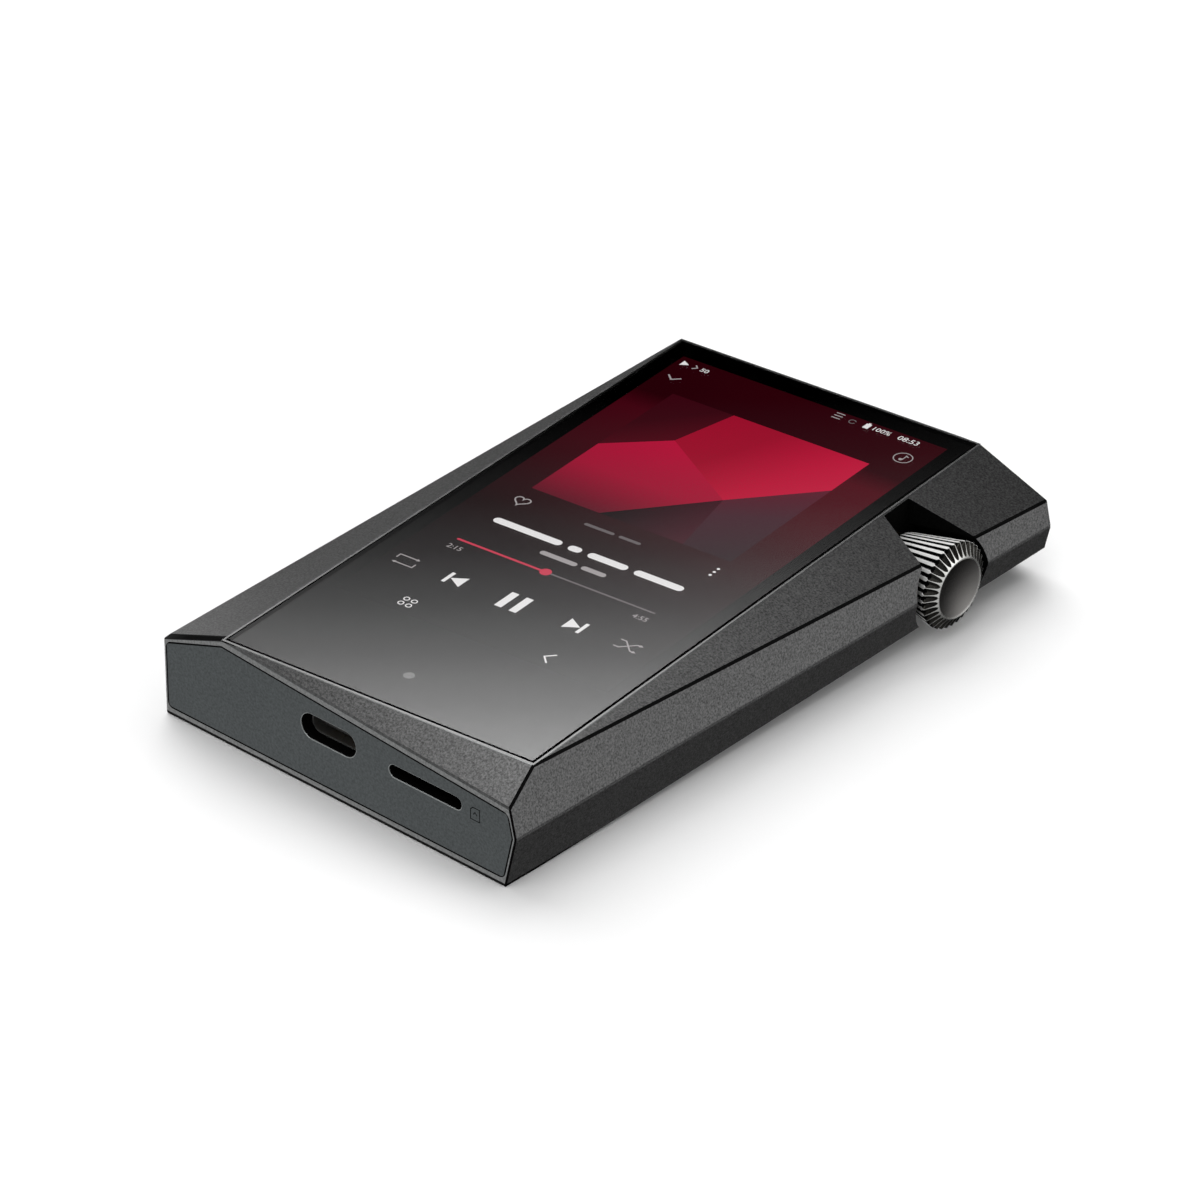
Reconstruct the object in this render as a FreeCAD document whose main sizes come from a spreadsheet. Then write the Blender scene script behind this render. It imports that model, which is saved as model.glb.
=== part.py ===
"""A pocket digital audio player, lying on its back with the screen up.

The housing is one machined aluminium shell. Seen from the front, its flat deck is a rectangle
turned a few degrees from the body's outline, so four long triangular facets fall away from it.
A fluted volume knob sits in a notch in the right side. The origin is the centre of the flat back
face, +X is the player's right, +Y its top end (jacks) and +Z the way the screen looks.
All lengths are in millimetres and all angles in degrees.
"""
import FreeCAD
import Part
import Sketcher
import math
import os
import re

# alias, value, meaning
DIMENSIONS = [
    # the outer form
    ("body_width", 64.07, "across the side ridge and the flat left side"),
    ("body_length", 108.35, "between the two end faces"),
    ("body_height", 16.0, "back face to deck"),
    ("ridge_height", 8.0, "height of the ridge along the right side"),
    ("side_lean", 13.2, "lean of the right side above and below its ridge"),
    ("deck_tilt", 6.1, "turn of the deck and its glass in plan"),
    ("deck_width", 51.34, "deck, across"),
    ("deck_length", 103.6, "deck, along"),
    ("deck_offset", -0.88, "deck centre from the body centre, across"),
    ("left_facet", 20.7, "slope of the left facet"),
    ("right_facet", 19.5, "slope of the right facets, front and back"),
    ("end_facet", 34.0, "slope of the facets at the two ends"),
    ("edge_chamfer", 0.22, "broken edge round the end faces"),
    # the inside
    ("side_wall", 1.83, "left wall"),
    ("end_wall", 3.28, "end wall with its cap seat"),
    ("cavity_height", 11.2, "main cavity, measured from the back face"),
    ("cavity_margin", 2.2, "cavity to the edge of the flat back, right side"),
    ("bay_right", 28.4, "right limit of the bay beside the cavity"),
    ("bay_top", 23.0, "upper limit of that bay"),
    ("bay_low", 5.0, "floor of that bay"),
    ("ledge", 1.0, "step that the back cover rests on"),
    ("cover_thick", 1.1, "back cover"),
    ("cover_glue", 0.1, "adhesive under the back cover"),
    ("slip", 0.1, "gap round a part set into the housing"),
    # glass and display
    ("glass_rim", 0.5, "deck left standing round the glass"),
    ("glass_thick", 0.8, "cover glass"),
    ("glass_proud", 0.1, "glass above the deck"),
    ("glass_edge", 0.15, "chamfer round the glass"),
    ("glass_glue", 0.1, "adhesive frame under the glass"),
    ("window_width", 47.2, "opening for the display, across"),
    ("window_length", 83.6, "opening for the display, along"),
    ("window_shift", 8.0, "opening's centre towards the top end"),
    ("panel_gap", 0.3, "display to its opening"),
    ("panel_thick", 1.7, "display panel"),
    ("plate_thick", 0.4, "metal plate behind the display"),
    # end caps
    ("cap_thick", 1.0, "end cap"),
    ("cap_inset", 0.55, "end cap to the outline of the end face"),
    ("cap_low", 1.35, "lower edge of the end caps"),
    ("cap_peak", 14.95, "highest point of the end caps, under the corner of the glass"),
    ("cap_round", 0.7, "corner radius of the end caps"),
    # knob and encoder
    ("knob_along", 32.85, "knob axis from the body centre, along"),
    ("knob_height", 7.7, "knob axis above the back face"),
    ("knob_inner", 22.6, "inner end of the knob"),
    ("knob_crest", 32.1, "widest place of the knob"),
    ("knob_outer", 33.2, "outer end of the knob"),
    ("knob_root_radius", 4.35, "knob radius at its inner end"),
    ("knob_crest_radius", 6.42, "knob radius at its crest"),
    ("knob_face_radius", 4.5, "knob radius at its outer end"),
    ("flute_count", 36, "flutes round the knob"),
    ("flute_depth", 0.5, "flute depth at the crest"),
    ("dish_radius", 4.2, "dished disc in the knob's end"),
    ("dish_thick", 0.9, "dished disc"),
    ("dish_sag", 0.45, "hollow of the disc"),
    ("notch_inner", 21.6, "floor of the knob's pocket"),
    ("notch_root", 5.3, "pocket radius at its floor"),
    ("notch_flare", 0.217, "pocket radius gained for each millimetre outwards"),
    ("notch_gap", 0.2, "notch to the edge of the deck"),
    ("notch_root_half", 2.97, "half width of the notch at the deck"),
    ("notch_spread", 0.2925, "half width gained for each millimetre outwards"),
    ("shaft_radius", 1.5, "encoder shaft"),
    ("bush_radius", 3.0, "threaded bush of the encoder"),
    ("nut_radius", 4.4, "nut on the bush, across its corners"),
    ("nut_thick", 0.7, "nut on the bush"),
    ("encoder_left", 12.3, "left face of the encoder"),
    ("encoder_right", 18.3, "right face of the encoder"),
    ("encoder_half", 5.6, "half length of the encoder"),
    ("encoder_rise", 3.4, "half height of the encoder"),
    # side and power buttons
    ("button_height", 7.6, "axis of the side buttons above the back face"),
    ("button_first", 4.0, "first side button from the body centre, along"),
    ("button_pitch", 12.0, "side button spacing"),
    ("button_length", 8.0, "button, along"),
    ("button_wide", 3.0, "button, across"),
    ("button_proud", 0.35, "button above the wall"),
    ("button_play", 0.1, "gap round a button"),
    ("button_travel", 0.35, "how far a button goes in"),
    ("flange_over", 0.6, "flange beyond the button, all round"),
    ("flange_thick", 0.6, "flange that keeps a button in"),
    ("recess_depth", 0.25, "shallow recess round the side buttons"),
    ("power_across", 11.0, "power button from the body centre, across"),
    ("power_wide", 2.6, "power button, across"),
    ("switch_deep", 1.9, "switch body"),
    ("switch_gap", 0.65, "button flange to switch body, at rest"),
    ("plunger_radius", 0.6, "switch plunger"),
    ("key_board_thick", 0.6, "small circuit boards behind the buttons"),
    # boards and battery
    ("board_low", 7.0, "underside of the main board"),
    ("board_thick", 1.0, "main board"),
    ("board_gap", 0.6, "board to the cavity wall"),
    ("audio_low", 2.2, "underside of the audio board"),
    ("audio_thick", 0.8, "audio board"),
    ("battery_low", 1.6, "underside of the battery"),
    ("battery_thick", 4.7, "battery"),
    ("screw_radius", 0.5, "thread of the board screws"),
    ("boss_radius", 1.6, "screw posts in the housing"),
    # sockets at the bottom end
    ("usb_across", -1.3, "charging socket from the body centre, across"),
    ("usb_height", 9.58, "charging socket above the back face"),
    ("usb_hole_wide", 10.0, "opening in the cap for the plug"),
    ("usb_hole_high", 3.8, "opening in the cap for the plug, height"),
    ("usb_wide", 8.94, "socket shell"),
    ("usb_high", 3.16, "socket shell, height"),
    ("usb_sheet", 0.28, "socket shell, sheet thickness"),
    ("usb_deep", 7.3, "socket shell, depth"),
    ("usb_recess", 1.5, "socket shell, set back from the end face"),
    ("card_across", 16.1, "card slot from the body centre, across"),
    ("card_height", 9.15, "card slot above the back face"),
    ("card_hole_wide", 12.9, "card slot in the cap"),
    ("card_hole_high", 1.9, "card slot in the cap, height"),
    # jacks at the top end
    ("jack_height", 7.1, "jack axes above the back face"),
    ("jack_nose", 0.6, "wall of a jack's nose"),
    ("ring_wide", 0.9, "trim ring beyond the nose"),
    ("ring_proud", 0.1, "trim ring above the cap"),
    ("ring_deep", 0.78, "seat of the trim rings in the cap"),
]

# name, axis from the body centre, bore radius, half width of the body, bore depth
JACKS = [
    ("large", -21.5, 2.25, 3.9, 19.3),
    ("medium", -9.5, 1.8, 3.0, 14.8),
    ("small", 0.5, 1.3, 2.5, 12.3),
]
SIDE_BUTTONS = ["previous", "play", "next"]
POSTS = [("-28.4", "-48.0"), ("25.4", "-48.0"), ("-28.4", "-7.0"), ("25.4", "18.0")]

FAR = 40.0  # beyond the outline in any plan direction
WORD = re.compile(r"[a-z]+(?:_[a-z]+)+|slip|ledge")
NAMES = {row[0] for row in DIMENSIONS}

# distances of the outline's corners from the deck's centre, along the deck's own two axes
CORNER_U = "((body_width/2 + deck_offset)*cos(deck_tilt) + body_length/2*sin(deck_tilt))"
CORNER_V = "((body_width/2 - deck_offset)*sin(deck_tilt) + body_length/2*cos(deck_tilt))"
LEFT_DROP = f"(({CORNER_U} - deck_width/2)*tan(left_facet))"
END_DROP = f"(({CORNER_V} - deck_length/2)*tan(end_facet))"
RIGHT_CORNER_U = "((body_width/2 - 0.9 - deck_offset)*cos(deck_tilt) + body_length/2*sin(deck_tilt))"
RIGHT_DROP = f"(({RIGHT_CORNER_U} - deck_width/2)*tan(right_facet))"
# where the deck's right edge, and its mirror on the back, crosses the line y = 0
DECK_EDGE = "(deck_offset + deck_width/2/cos(deck_tilt))"
DECK_TOP_X = "(deck_offset + deck_width/2*cos(deck_tilt) - deck_length/2*sin(deck_tilt))"
END = "(body_length/2)"
CAVITY_END = "(body_length/2 - end_wall)"
CAVITY_LEFT = "(-body_width/2 + side_wall)"
BOARD_TOP = "(board_low + board_thick)"

doc = FreeCAD.newDocument("audio_player")
dims = doc.addObject("Spreadsheet::Sheet", "dims")
spare = doc.addObject("Spreadsheet::Sheet", "spare")
parts = []


def fill_sheet():
    """Writes the driving dimensions as plain numbers with aliases."""
    for row, (alias, number, meaning) in enumerate(DIMENSIONS, start=1):
        dims.set(f"A{row}", meaning)
        dims.set(f"B{row}", str(number))
        dims.setAlias(f"B{row}", alias)
    doc.recompute()


def bound(text):
    """An expression written with bare aliases, as other objects read it from the sheet."""
    return WORD.sub(lambda m: f"dims.{m[0]}" if m[0] in NAMES else m[0], str(text))


def value(text):
    """The number that an expression comes to, worked out in the spare cell of a second sheet."""
    spare.set("A1", f"={bound(text)}")
    spare.recompute()
    return float(spare.get("A1"))


def bind(thing, path, text):
    thing.setExpression(path, bound(text))


def keep(label, thing):
    """Lists an object as a sub-part of the player."""
    thing.Label = label
    parts.append((label, thing))
    return thing


# ---- sketches ------------------------------------------------------------------------------


def sketch_on(body, name, plane, x="0", y="0", z="0", turn=None):
    """An empty sketch on one of the body's origin planes, shifted in the plane's own x, y and z.

    turn is (axis, angle): a turn of the sketch about its own axis.
    """
    sketch = body.newObject("Sketcher::SketchObject", name)
    base = next(f for f in body.Origin.OriginFeatures if f.Role == plane)
    sketch.AttachmentSupport = [(base, "")]
    sketch.MapMode = "FlatFace"
    spin = FreeCAD.Rotation()
    if turn:
        spin = FreeCAD.Rotation(FreeCAD.Vector(*turn[0]), value(turn[1]))
    sketch.AttachmentOffset = FreeCAD.Placement(FreeCAD.Vector(value(x), value(y), value(z)), spin)
    for axis, text in (("x", x), ("y", y), ("z", z)):
        bind(sketch, f"AttachmentOffset.Base.{axis}", text)
    if turn:
        bind(sketch, "AttachmentOffset.Rotation.Angle", turn[1])
    return sketch


def place_point(sketch, geometry, position, x, y):
    """Ties a point of the sketch to expressions for its two coordinates."""
    for kind, text in (("DistanceX", x), ("DistanceY", y)):
        constraint = Sketcher.Constraint(kind, -1, 1, geometry, position, value(text))
        index = sketch.addConstraint(constraint)
        bind(sketch, f"Constraints[{index}]", text)


def draw_outline(sketch, points):
    """A closed outline of straight lines through points given as expressions."""
    corners = [FreeCAD.Vector(value(x), value(y), 0) for x, y in points]
    first = sketch.GeometryCount
    count = len(points)
    for i in range(count):
        sketch.addGeometry(Part.LineSegment(corners[i], corners[(i + 1) % count]))
    for i, (x, y) in enumerate(points):
        joined = Sketcher.Constraint("Coincident", first + i, 2, first + (i + 1) % count, 1)
        sketch.addConstraint(joined)
        place_point(sketch, first + i, 1, x, y)
    return sketch


def draw_rectangle(sketch, wide, high, x="0", y="0"):
    """A rectangle with its centre at x, y."""
    left, right = f"{x} - ({wide})/2", f"{x} + ({wide})/2"
    low, top = f"{y} - ({high})/2", f"{y} + ({high})/2"
    return draw_outline(sketch, [(left, low), (right, low), (right, top), (left, top)])


def draw_circle(sketch, x, y, radius):
    centre = FreeCAD.Vector(value(x), value(y), 0)
    circle = Part.Circle(centre, FreeCAD.Vector(0, 0, 1), value(radius))
    index = sketch.addGeometry(circle)
    place_point(sketch, index, 3, x, y)
    size = sketch.addConstraint(Sketcher.Constraint("Radius", index, value(radius)))
    bind(sketch, f"Constraints[{size}]", radius)
    return sketch


def draw_slot(sketch, x, y, long, high):
    """A slot with round ends, along the sketch's x."""
    half, radius = value(f"(({long}) - ({high}))/2"), value(f"({high})/2")
    cx, cy = value(x), value(y)
    up = FreeCAD.Vector(0, 0, 1)
    right = Part.Circle(FreeCAD.Vector(cx + half, cy, 0), up, radius)
    left = Part.Circle(FreeCAD.Vector(cx - half, cy, 0), up, radius)
    low = [FreeCAD.Vector(cx + side * half, cy - radius, 0) for side in (-1, 1)]
    top = [FreeCAD.Vector(cx + side * half, cy + radius, 0) for side in (1, -1)]
    first = sketch.addGeometry(Part.LineSegment(*low))
    sketch.addGeometry(Part.ArcOfCircle(right, -math.pi / 2, math.pi / 2))
    sketch.addGeometry(Part.LineSegment(*top))
    sketch.addGeometry(Part.ArcOfCircle(left, math.pi / 2, 3 * math.pi / 2))
    for i in range(4):
        joint = Sketcher.Constraint("Tangent", first + i, 2, first + (i + 1) % 4, 1)
        sketch.addConstraint(joint)
    for geometry, side in ((first + 1, "+"), (first + 3, "-")):
        place_point(sketch, geometry, 3, f"{x} {side} (({long}) - ({high}))/2", y)
        size = sketch.addConstraint(Sketcher.Constraint("Radius", geometry, radius))
        bind(sketch, f"Constraints[{size}]", f"({high})/2")
    return sketch


# ---- features ------------------------------------------------------------------------------


def new_body(label):
    return keep(label, doc.addObject("PartDesign::Body", label))


def extrude(body, kind, sketch, length, symmetric=False, backwards=False):
    """A Pad or Pocket of a sketch. A Pocket has to remove something."""
    before = body.Shape.Volume if body.Tip else 0.0
    feature = body.newObject(f"PartDesign::{kind}", f"{sketch.Name}_{kind.lower()}")
    feature.Profile = sketch
    feature.Length = value(length)
    bind(feature, "Length", length)
    feature.SideType = "Symmetric" if symmetric else "One side"
    feature.Reversed = backwards
    sketch.Visibility = False
    doc.recompute()
    if kind == "Pocket" and body.Shape.Volume > before - 1e-3:
        raise RuntimeError(f"{feature.Name} cuts nothing")
    return feature


def pad(body, sketch, length, **way):
    return extrude(body, "Pad", sketch, length, **way)


def pocket(body, sketch, length, **way):
    return extrude(body, "Pocket", sketch, length, **way)


def break_edges(body, kind, size, wanted):
    """A Chamfer or Fillet on the edges of the body's shape for which wanted(edge) is true."""
    names = [f"Edge{i}" for i, edge in enumerate(body.Shape.Edges, start=1) if wanted(edge)]
    base = body.Tip
    feature = body.newObject(f"PartDesign::{kind}", f"{body.Name}_{kind.lower()}")
    feature.Base = (base, names)
    path = "Size" if kind == "Chamfer" else "Radius"
    setattr(feature, path, value(size))
    bind(feature, path, size)
    doc.recompute()
    return feature


# ---- simple solids -------------------------------------------------------------------------


def block(name, x, y, z):
    """A box between two expressions on each axis."""
    box = doc.addObject("Part::Box", name)
    for side, (low, high) in zip(("Length", "Width", "Height"), (x, y, z)):
        setattr(box, side, value(f"({high}) - ({low})"))
        bind(box, side, f"({high}) - ({low})")
    for axis, (low, _) in zip("xyz", (x, y, z)):
        bind(box, f"Placement.Base.{axis}", low)
    return box


def rod(name, axis, radius, start, end, across, height):
    """A cylinder along X or Y between two expressions; across and height place its axis."""
    bar = doc.addObject("Part::Cylinder", name)
    bind(bar, "Radius", radius)
    bind(bar, "Height", f"({end}) - ({start})")
    if axis == "x":
        bar.Placement.Rotation = FreeCAD.Rotation(FreeCAD.Vector(0, 1, 0), 90)
        spots = {"x": start, "y": across, "z": height}
    else:
        bar.Placement.Rotation = FreeCAD.Rotation(FreeCAD.Vector(1, 0, 0), -90)
        spots = {"x": across, "y": start, "z": height}
    for letter, text in spots.items():
        bind(bar, f"Placement.Base.{letter}", text)
    return bar


def cut(name, base, *tools):
    result = doc.addObject("Part::Cut", name)
    result.Base = base
    result.Tool = tools[0] if len(tools) == 1 else fuse(f"{name}_tools", *tools)
    return result


def fuse(name, *shapes):
    result = doc.addObject("Part::MultiFuse", name)
    result.Shapes = list(shapes)
    return result


def group(label, shapes):
    """Separate solids that share one node."""
    result = doc.addObject("Part::Compound", label)
    result.Links = list(shapes)
    return keep(label, result)


# ---- housing -------------------------------------------------------------------------------


def right_edge(margin, y):
    """The line parallel to the deck's right edge, margin inside it, at a place along the body."""
    return f"({DECK_EDGE} - ({margin})/cos(deck_tilt) - ({y})*tan(deck_tilt))"


def back_outline(margin, left, end):
    """The flat back's outline, drawn in by a margin: three square sides and the slanted one."""
    return [
        (left, f"-{end}"),
        (right_edge(margin, f"-{end}"), f"-{end}"),
        (right_edge(margin, end), end),
        (left, end),
    ]


def cap_outline(end, grow="0"):
    """The outline of an end cap in x and z; end is "bottom" or "top"."""
    inset = f"(cap_inset - ({grow}))"
    left = f"(-body_width/2 + {inset})"
    low = f"(cap_low - ({grow}))"
    lean = "tan(side_lean)"
    if end == "bottom":
        shoulder = f"(body_height - {END_DROP} - {inset} - 0.3)"
        return [
            (left, low),
            (f"(body_width/2 - {inset} - (ridge_height - {low})*{lean})", low),
            (f"(body_width/2 - {inset})", "ridge_height"),
            (f"(body_width/2 - {inset} - ({shoulder} - ridge_height)*{lean})", shoulder),
            ("(deck_offset - deck_width/2*cos(deck_tilt) + deck_length/2*sin(deck_tilt))",
             f"(cap_peak + ({grow}))"),
            (left, f"(body_height - {LEFT_DROP} - {inset})"),
        ]
    drop = f"({RIGHT_DROP} + {inset} + 0.1)"
    shoulder = f"(body_width/2 - {inset} - (body_height - {drop} - ridge_height)*{lean})"
    return [
        (left, low),
        (f"({DECK_TOP_X} - 0.3 + {low})", low),
        (shoulder, drop),
        (f"(body_width/2 - {inset})", "ridge_height"),
        (shoulder, f"(body_height - {drop})"),
        (DECK_TOP_X, f"(cap_peak + ({grow}))"),
        (left, f"(body_height - {END_DROP} - {inset} - 0.2)"),
    ]


def outer_form(body):
    """The section swept along the body, then the facets cut away."""
    section = sketch_on(body, "section", "XZ_Plane")
    draw_outline(section, [
        ("-body_width/2", "0"),
        ("body_width/2 - ridge_height*tan(side_lean)", "0"),
        ("body_width/2", "ridge_height"),
        ("body_width/2 - (body_height - ridge_height)*tan(side_lean)", "body_height"),
        ("-body_width/2", "body_height"),
    ])
    pad(body, section, "body_length", symmetric=True)

    upright = (0, 1, 0)
    across = sketch_on(body, "long_facets", "XZ_Plane", x="deck_offset", turn=(upright, "deck_tilt"))
    edge, far, over = "deck_width/2", str(FAR), "(body_height + 1)"
    draw_outline(across, [
        (f"-{edge}", "body_height"), (f"-{edge}", over), (f"-{far}", over),
        (f"-{far}", f"body_height - ({far} - {edge})*tan(left_facet)")])
    draw_outline(across, [
        (edge, "body_height"), (far, f"body_height - ({far} - {edge})*tan(right_facet)"),
        (far, over), (edge, over)])
    draw_outline(across, [
        (edge, "0"), (edge, "-1"), (far, "-1"), (far, f"({far} - {edge})*tan(right_facet)")])
    pocket(body, across, "2*body_length", symmetric=True)

    along = sketch_on(body, "end_facets", "YZ_Plane", z="deck_offset", turn=(upright, "deck_tilt"))
    edge, far = "deck_length/2", "(body_length/2 + 6)"
    for side in ("-", ""):
        draw_outline(along, [
            (f"{side}{edge}", "body_height"), (f"{side}{edge}", over), (f"{side}{far}", over),
            (f"{side}{far}", f"body_height - ({far} - {edge})*tan(end_facet)")])
    pocket(body, along, "2*body_width", symmetric=True)


def hollow(body):
    """The cavity, the bay beside it, the step for the back cover, and the screw posts."""
    main = sketch_on(body, "cavity", "XY_Plane")
    draw_outline(main, back_outline("cavity_margin", CAVITY_LEFT, CAVITY_END))
    pocket(body, main, "cavity_height", backwards=True)

    bay = sketch_on(body, "bay", "XY_Plane", z="bay_low")
    inner = "(cavity_margin + 1)"
    draw_outline(bay, [
        (right_edge(inner, f"-{CAVITY_END}"), f"-{CAVITY_END}"), ("bay_right", f"-{CAVITY_END}"),
        ("bay_right", "bay_top"), (right_edge(inner, "bay_top"), "bay_top")])
    pocket(body, bay, "cavity_height - bay_low", backwards=True)

    step = sketch_on(body, "cover_step", "XY_Plane")
    draw_outline(step, back_outline(
        "(cavity_margin - ledge)", f"({CAVITY_LEFT} - 0.8*ledge)", f"({CAVITY_END} + ledge)"))
    pocket(body, step, "cover_thick + cover_glue", backwards=True)

    posts = sketch_on(body, "posts", "XY_Plane", z=BOARD_TOP)
    threads = sketch_on(body, "post_threads", "XY_Plane", z=BOARD_TOP)
    for x, y in POSTS:
        draw_circle(posts, x, y, "boss_radius")
        draw_circle(threads, x, y, "screw_radius")
    pad(body, posts, f"cavity_height - {BOARD_TOP}")
    pocket(body, threads, f"cavity_height - {BOARD_TOP} + 1", backwards=True)


def deck_openings(body):
    """The glass seat, and under it the opening for the display."""
    flat = ((0, 0, 1), "deck_tilt")
    seat = sketch_on(body, "glass_seat", "XY_Plane", x="deck_offset", z="body_height", turn=flat)
    draw_rectangle(seat, "deck_width - 2*glass_rim + 2*slip", "deck_length - 2*glass_rim + 2*slip")
    pocket(body, seat, "glass_thick - glass_proud + glass_glue")
    window = sketch_on(body, "window", "XY_Plane", x="deck_offset", z="body_height", turn=flat)
    draw_rectangle(window, "window_width", "window_length", y="window_shift")
    pocket(body, window, "body_height - cavity_height + 0.5")


def end_openings(body):
    """The cap seats, and the holes behind them for sockets, jacks and the power button."""
    low = sketch_on(body, "bottom_seat", "XZ_Plane", z=END)
    draw_outline(low, cap_outline("bottom", "slip"))
    pocket(body, low, "cap_thick")
    top = sketch_on(body, "top_seat", "XZ_Plane", z=f"-{END}")
    draw_outline(top, cap_outline("top", "slip"))
    pocket(body, top, "cap_thick", backwards=True)

    sockets = sketch_on(body, "socket_holes", "XZ_Plane", z=END)
    draw_slot(sockets, "usb_across", "usb_height", "usb_wide + 2*slip", "usb_high + 2*slip")
    draw_slot(sockets, "card_across", "card_height", "card_hole_wide", "card_hole_high")
    pocket(body, sockets, "end_wall + 0.5")
    jacks = sketch_on(body, "jack_holes", "XZ_Plane", z=f"-{END}")
    for _, across, bore, _, _ in JACKS:
        draw_circle(jacks, str(across), "jack_height", f"{bore} + jack_nose + slip")
    draw_slot(jacks, "power_across", "jack_height", "button_length + 2*button_play",
              "power_wide + 2*button_play")
    pocket(body, jacks, "end_wall + 0.5", backwards=True)


def side_openings(body):
    """The recess and three holes for the buttons in the left side."""
    middle = "(button_first + button_pitch)"
    recess = sketch_on(body, "button_recess", "YZ_Plane", z="-body_width/2")
    draw_slot(recess, middle, "button_height", "2*button_pitch + button_length + 4*flange_over",
              "button_wide + 3*flange_over")
    pocket(body, recess, "recess_depth", backwards=True)
    holes = sketch_on(body, "button_holes", "YZ_Plane", z="-body_width/2")
    for i in range(len(SIDE_BUTTONS)):
        draw_slot(holes, f"(button_first + {i}*button_pitch)", "button_height",
                  "button_length + 2*button_play", "button_wide + 2*button_play")
    pocket(body, holes, "side_wall + 0.5", backwards=True)


def knob_notch(body):
    """A flared notch through the right side, a round pocket for the knob and the bush hole."""
    notch = sketch_on(body, "notch", "XY_Plane", z="body_height/2")
    inner = {side: f"(knob_along {side} notch_root_half)" for side in "-+"}
    reach = f"(({FAR} - notch_inner)*notch_spread + notch_root_half)"
    draw_outline(notch, [
        (right_edge("-notch_gap", inner["-"]), inner["-"]), (str(FAR), f"knob_along - {reach}"),
        (str(FAR), f"knob_along + {reach}"), (right_edge("-notch_gap", inner["+"]), inner["+"])])
    pocket(body, notch, "2*body_height", symmetric=True)

    profile = sketch_on(body, "knob_pocket", "XY_Plane", y="knob_along", z="knob_height")
    draw_outline(profile, [
        ("notch_inner", "0"), (str(FAR), "0"),
        (str(FAR), f"notch_root + ({FAR} - notch_inner)*notch_flare"), ("notch_inner", "notch_root")])
    groove = body.newObject("PartDesign::Groove", "knob_pocket_groove")
    groove.Profile = profile
    groove.ReferenceAxis = (profile, ["H_Axis"])
    groove.Angle = 360
    profile.Visibility = False
    bush = sketch_on(body, "bush_hole", "YZ_Plane", z="notch_inner + 0.5")
    draw_circle(bush, "knob_along", "knob_height", "bush_radius + slip")
    pocket(body, bush, "6")


def make_housing():
    body = new_body("housing")
    outer_form(body)
    half = value(END)

    def on_end_face(edge):
        return all(abs(abs(v.Y) - half) < 1e-6 for v in edge.Vertexes)

    break_edges(body, "Chamfer", "edge_chamfer", on_end_face)
    hollow(body)
    deck_openings(body)
    end_openings(body)
    side_openings(body)
    knob_notch(body)


# ---- glass and display ---------------------------------------------------------------------


def deck_plate(label, wide, long, low, thick, shift="0"):
    """A flat plate turned with the deck."""
    body = new_body(label)
    flat = ((0, 0, 1), "deck_tilt")
    sketch = sketch_on(body, f"{label}_outline", "XY_Plane", x="deck_offset", z=low, turn=flat)
    draw_rectangle(sketch, wide, long, y=shift)
    pad(body, sketch, thick)
    return body


def make_display():
    glass_low = "(body_height + glass_proud - glass_thick)"
    wide, long = "deck_width - 2*glass_rim", "deck_length - 2*glass_rim"
    glass = deck_plate("front_glass", wide, long, glass_low, "glass_thick")
    top = value("body_height + glass_proud")
    break_edges(glass, "Chamfer", "glass_edge",
                lambda edge: all(abs(v.Z - top) < 1e-6 for v in edge.Vertexes))

    glue = deck_plate("glass_adhesive", f"{wide} - 2*slip", f"{long} - 2*slip",
                      f"({glass_low} - glass_glue)", "glass_glue")
    flat = ((0, 0, 1), "deck_tilt")
    inside = sketch_on(glue, "glue_window", "XY_Plane", x="deck_offset", z=glass_low, turn=flat)
    draw_rectangle(inside, "window_width", "window_length", y="window_shift")
    pocket(glue, inside, "2*glass_glue")

    wide, long = "window_width - 2*panel_gap", "window_length - 2*panel_gap"
    panel_low = f"({glass_low} - panel_thick)"
    deck_plate("display_panel", wide, long, panel_low, "panel_thick", "window_shift")
    deck_plate("display_backplate", wide, long, f"({panel_low} - plate_thick)", "plate_thick",
               "window_shift")
    make_display_flex(f"({panel_low} - plate_thick)")


def make_display_flex(top):
    """A ribbon from under the display's plate, down and along the main board."""
    ribbon = new_body("display_flex")
    profile = sketch_on(ribbon, "display_flex_profile", "YZ_Plane", z="-9")
    draw_outline(profile, [
        ("-24", f"{top} - 0.15"), ("-18", f"{top} - 0.15"), ("-18", BOARD_TOP), ("-15", BOARD_TOP),
        ("-15", f"{BOARD_TOP} + 0.15"), ("-17.85", f"{BOARD_TOP} + 0.15"), ("-17.85", top),
        ("-24", top)])
    pad(ribbon, profile, "10", symmetric=True)


# ---- covers --------------------------------------------------------------------------------


def make_cap(label, end):
    """An end cap that sits flush in its seat, with rounded corners."""
    body = new_body(label)
    bottom = end == "bottom"
    face = END if bottom else f"-{END}"
    outline = sketch_on(body, f"{label}_outline", "XZ_Plane", z=face)
    draw_outline(outline, cap_outline(end))
    pad(body, outline, "cap_thick", backwards=True if bottom else False)
    break_edges(body, "Fillet", "cap_round",
                lambda edge: abs(edge.Vertexes[0].Y - edge.Vertexes[-1].Y) > 0.5)
    return body


def make_bottom_cap():
    body = make_cap("bottom_cap", "bottom")
    ports = sketch_on(body, "ports", "XZ_Plane", z=END)
    draw_slot(ports, "usb_across", "usb_height", "usb_hole_wide", "usb_hole_high")
    draw_slot(ports, "card_across", "card_height", "card_hole_wide", "card_hole_high")
    pocket(body, ports, "cap_thick + 1")


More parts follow.
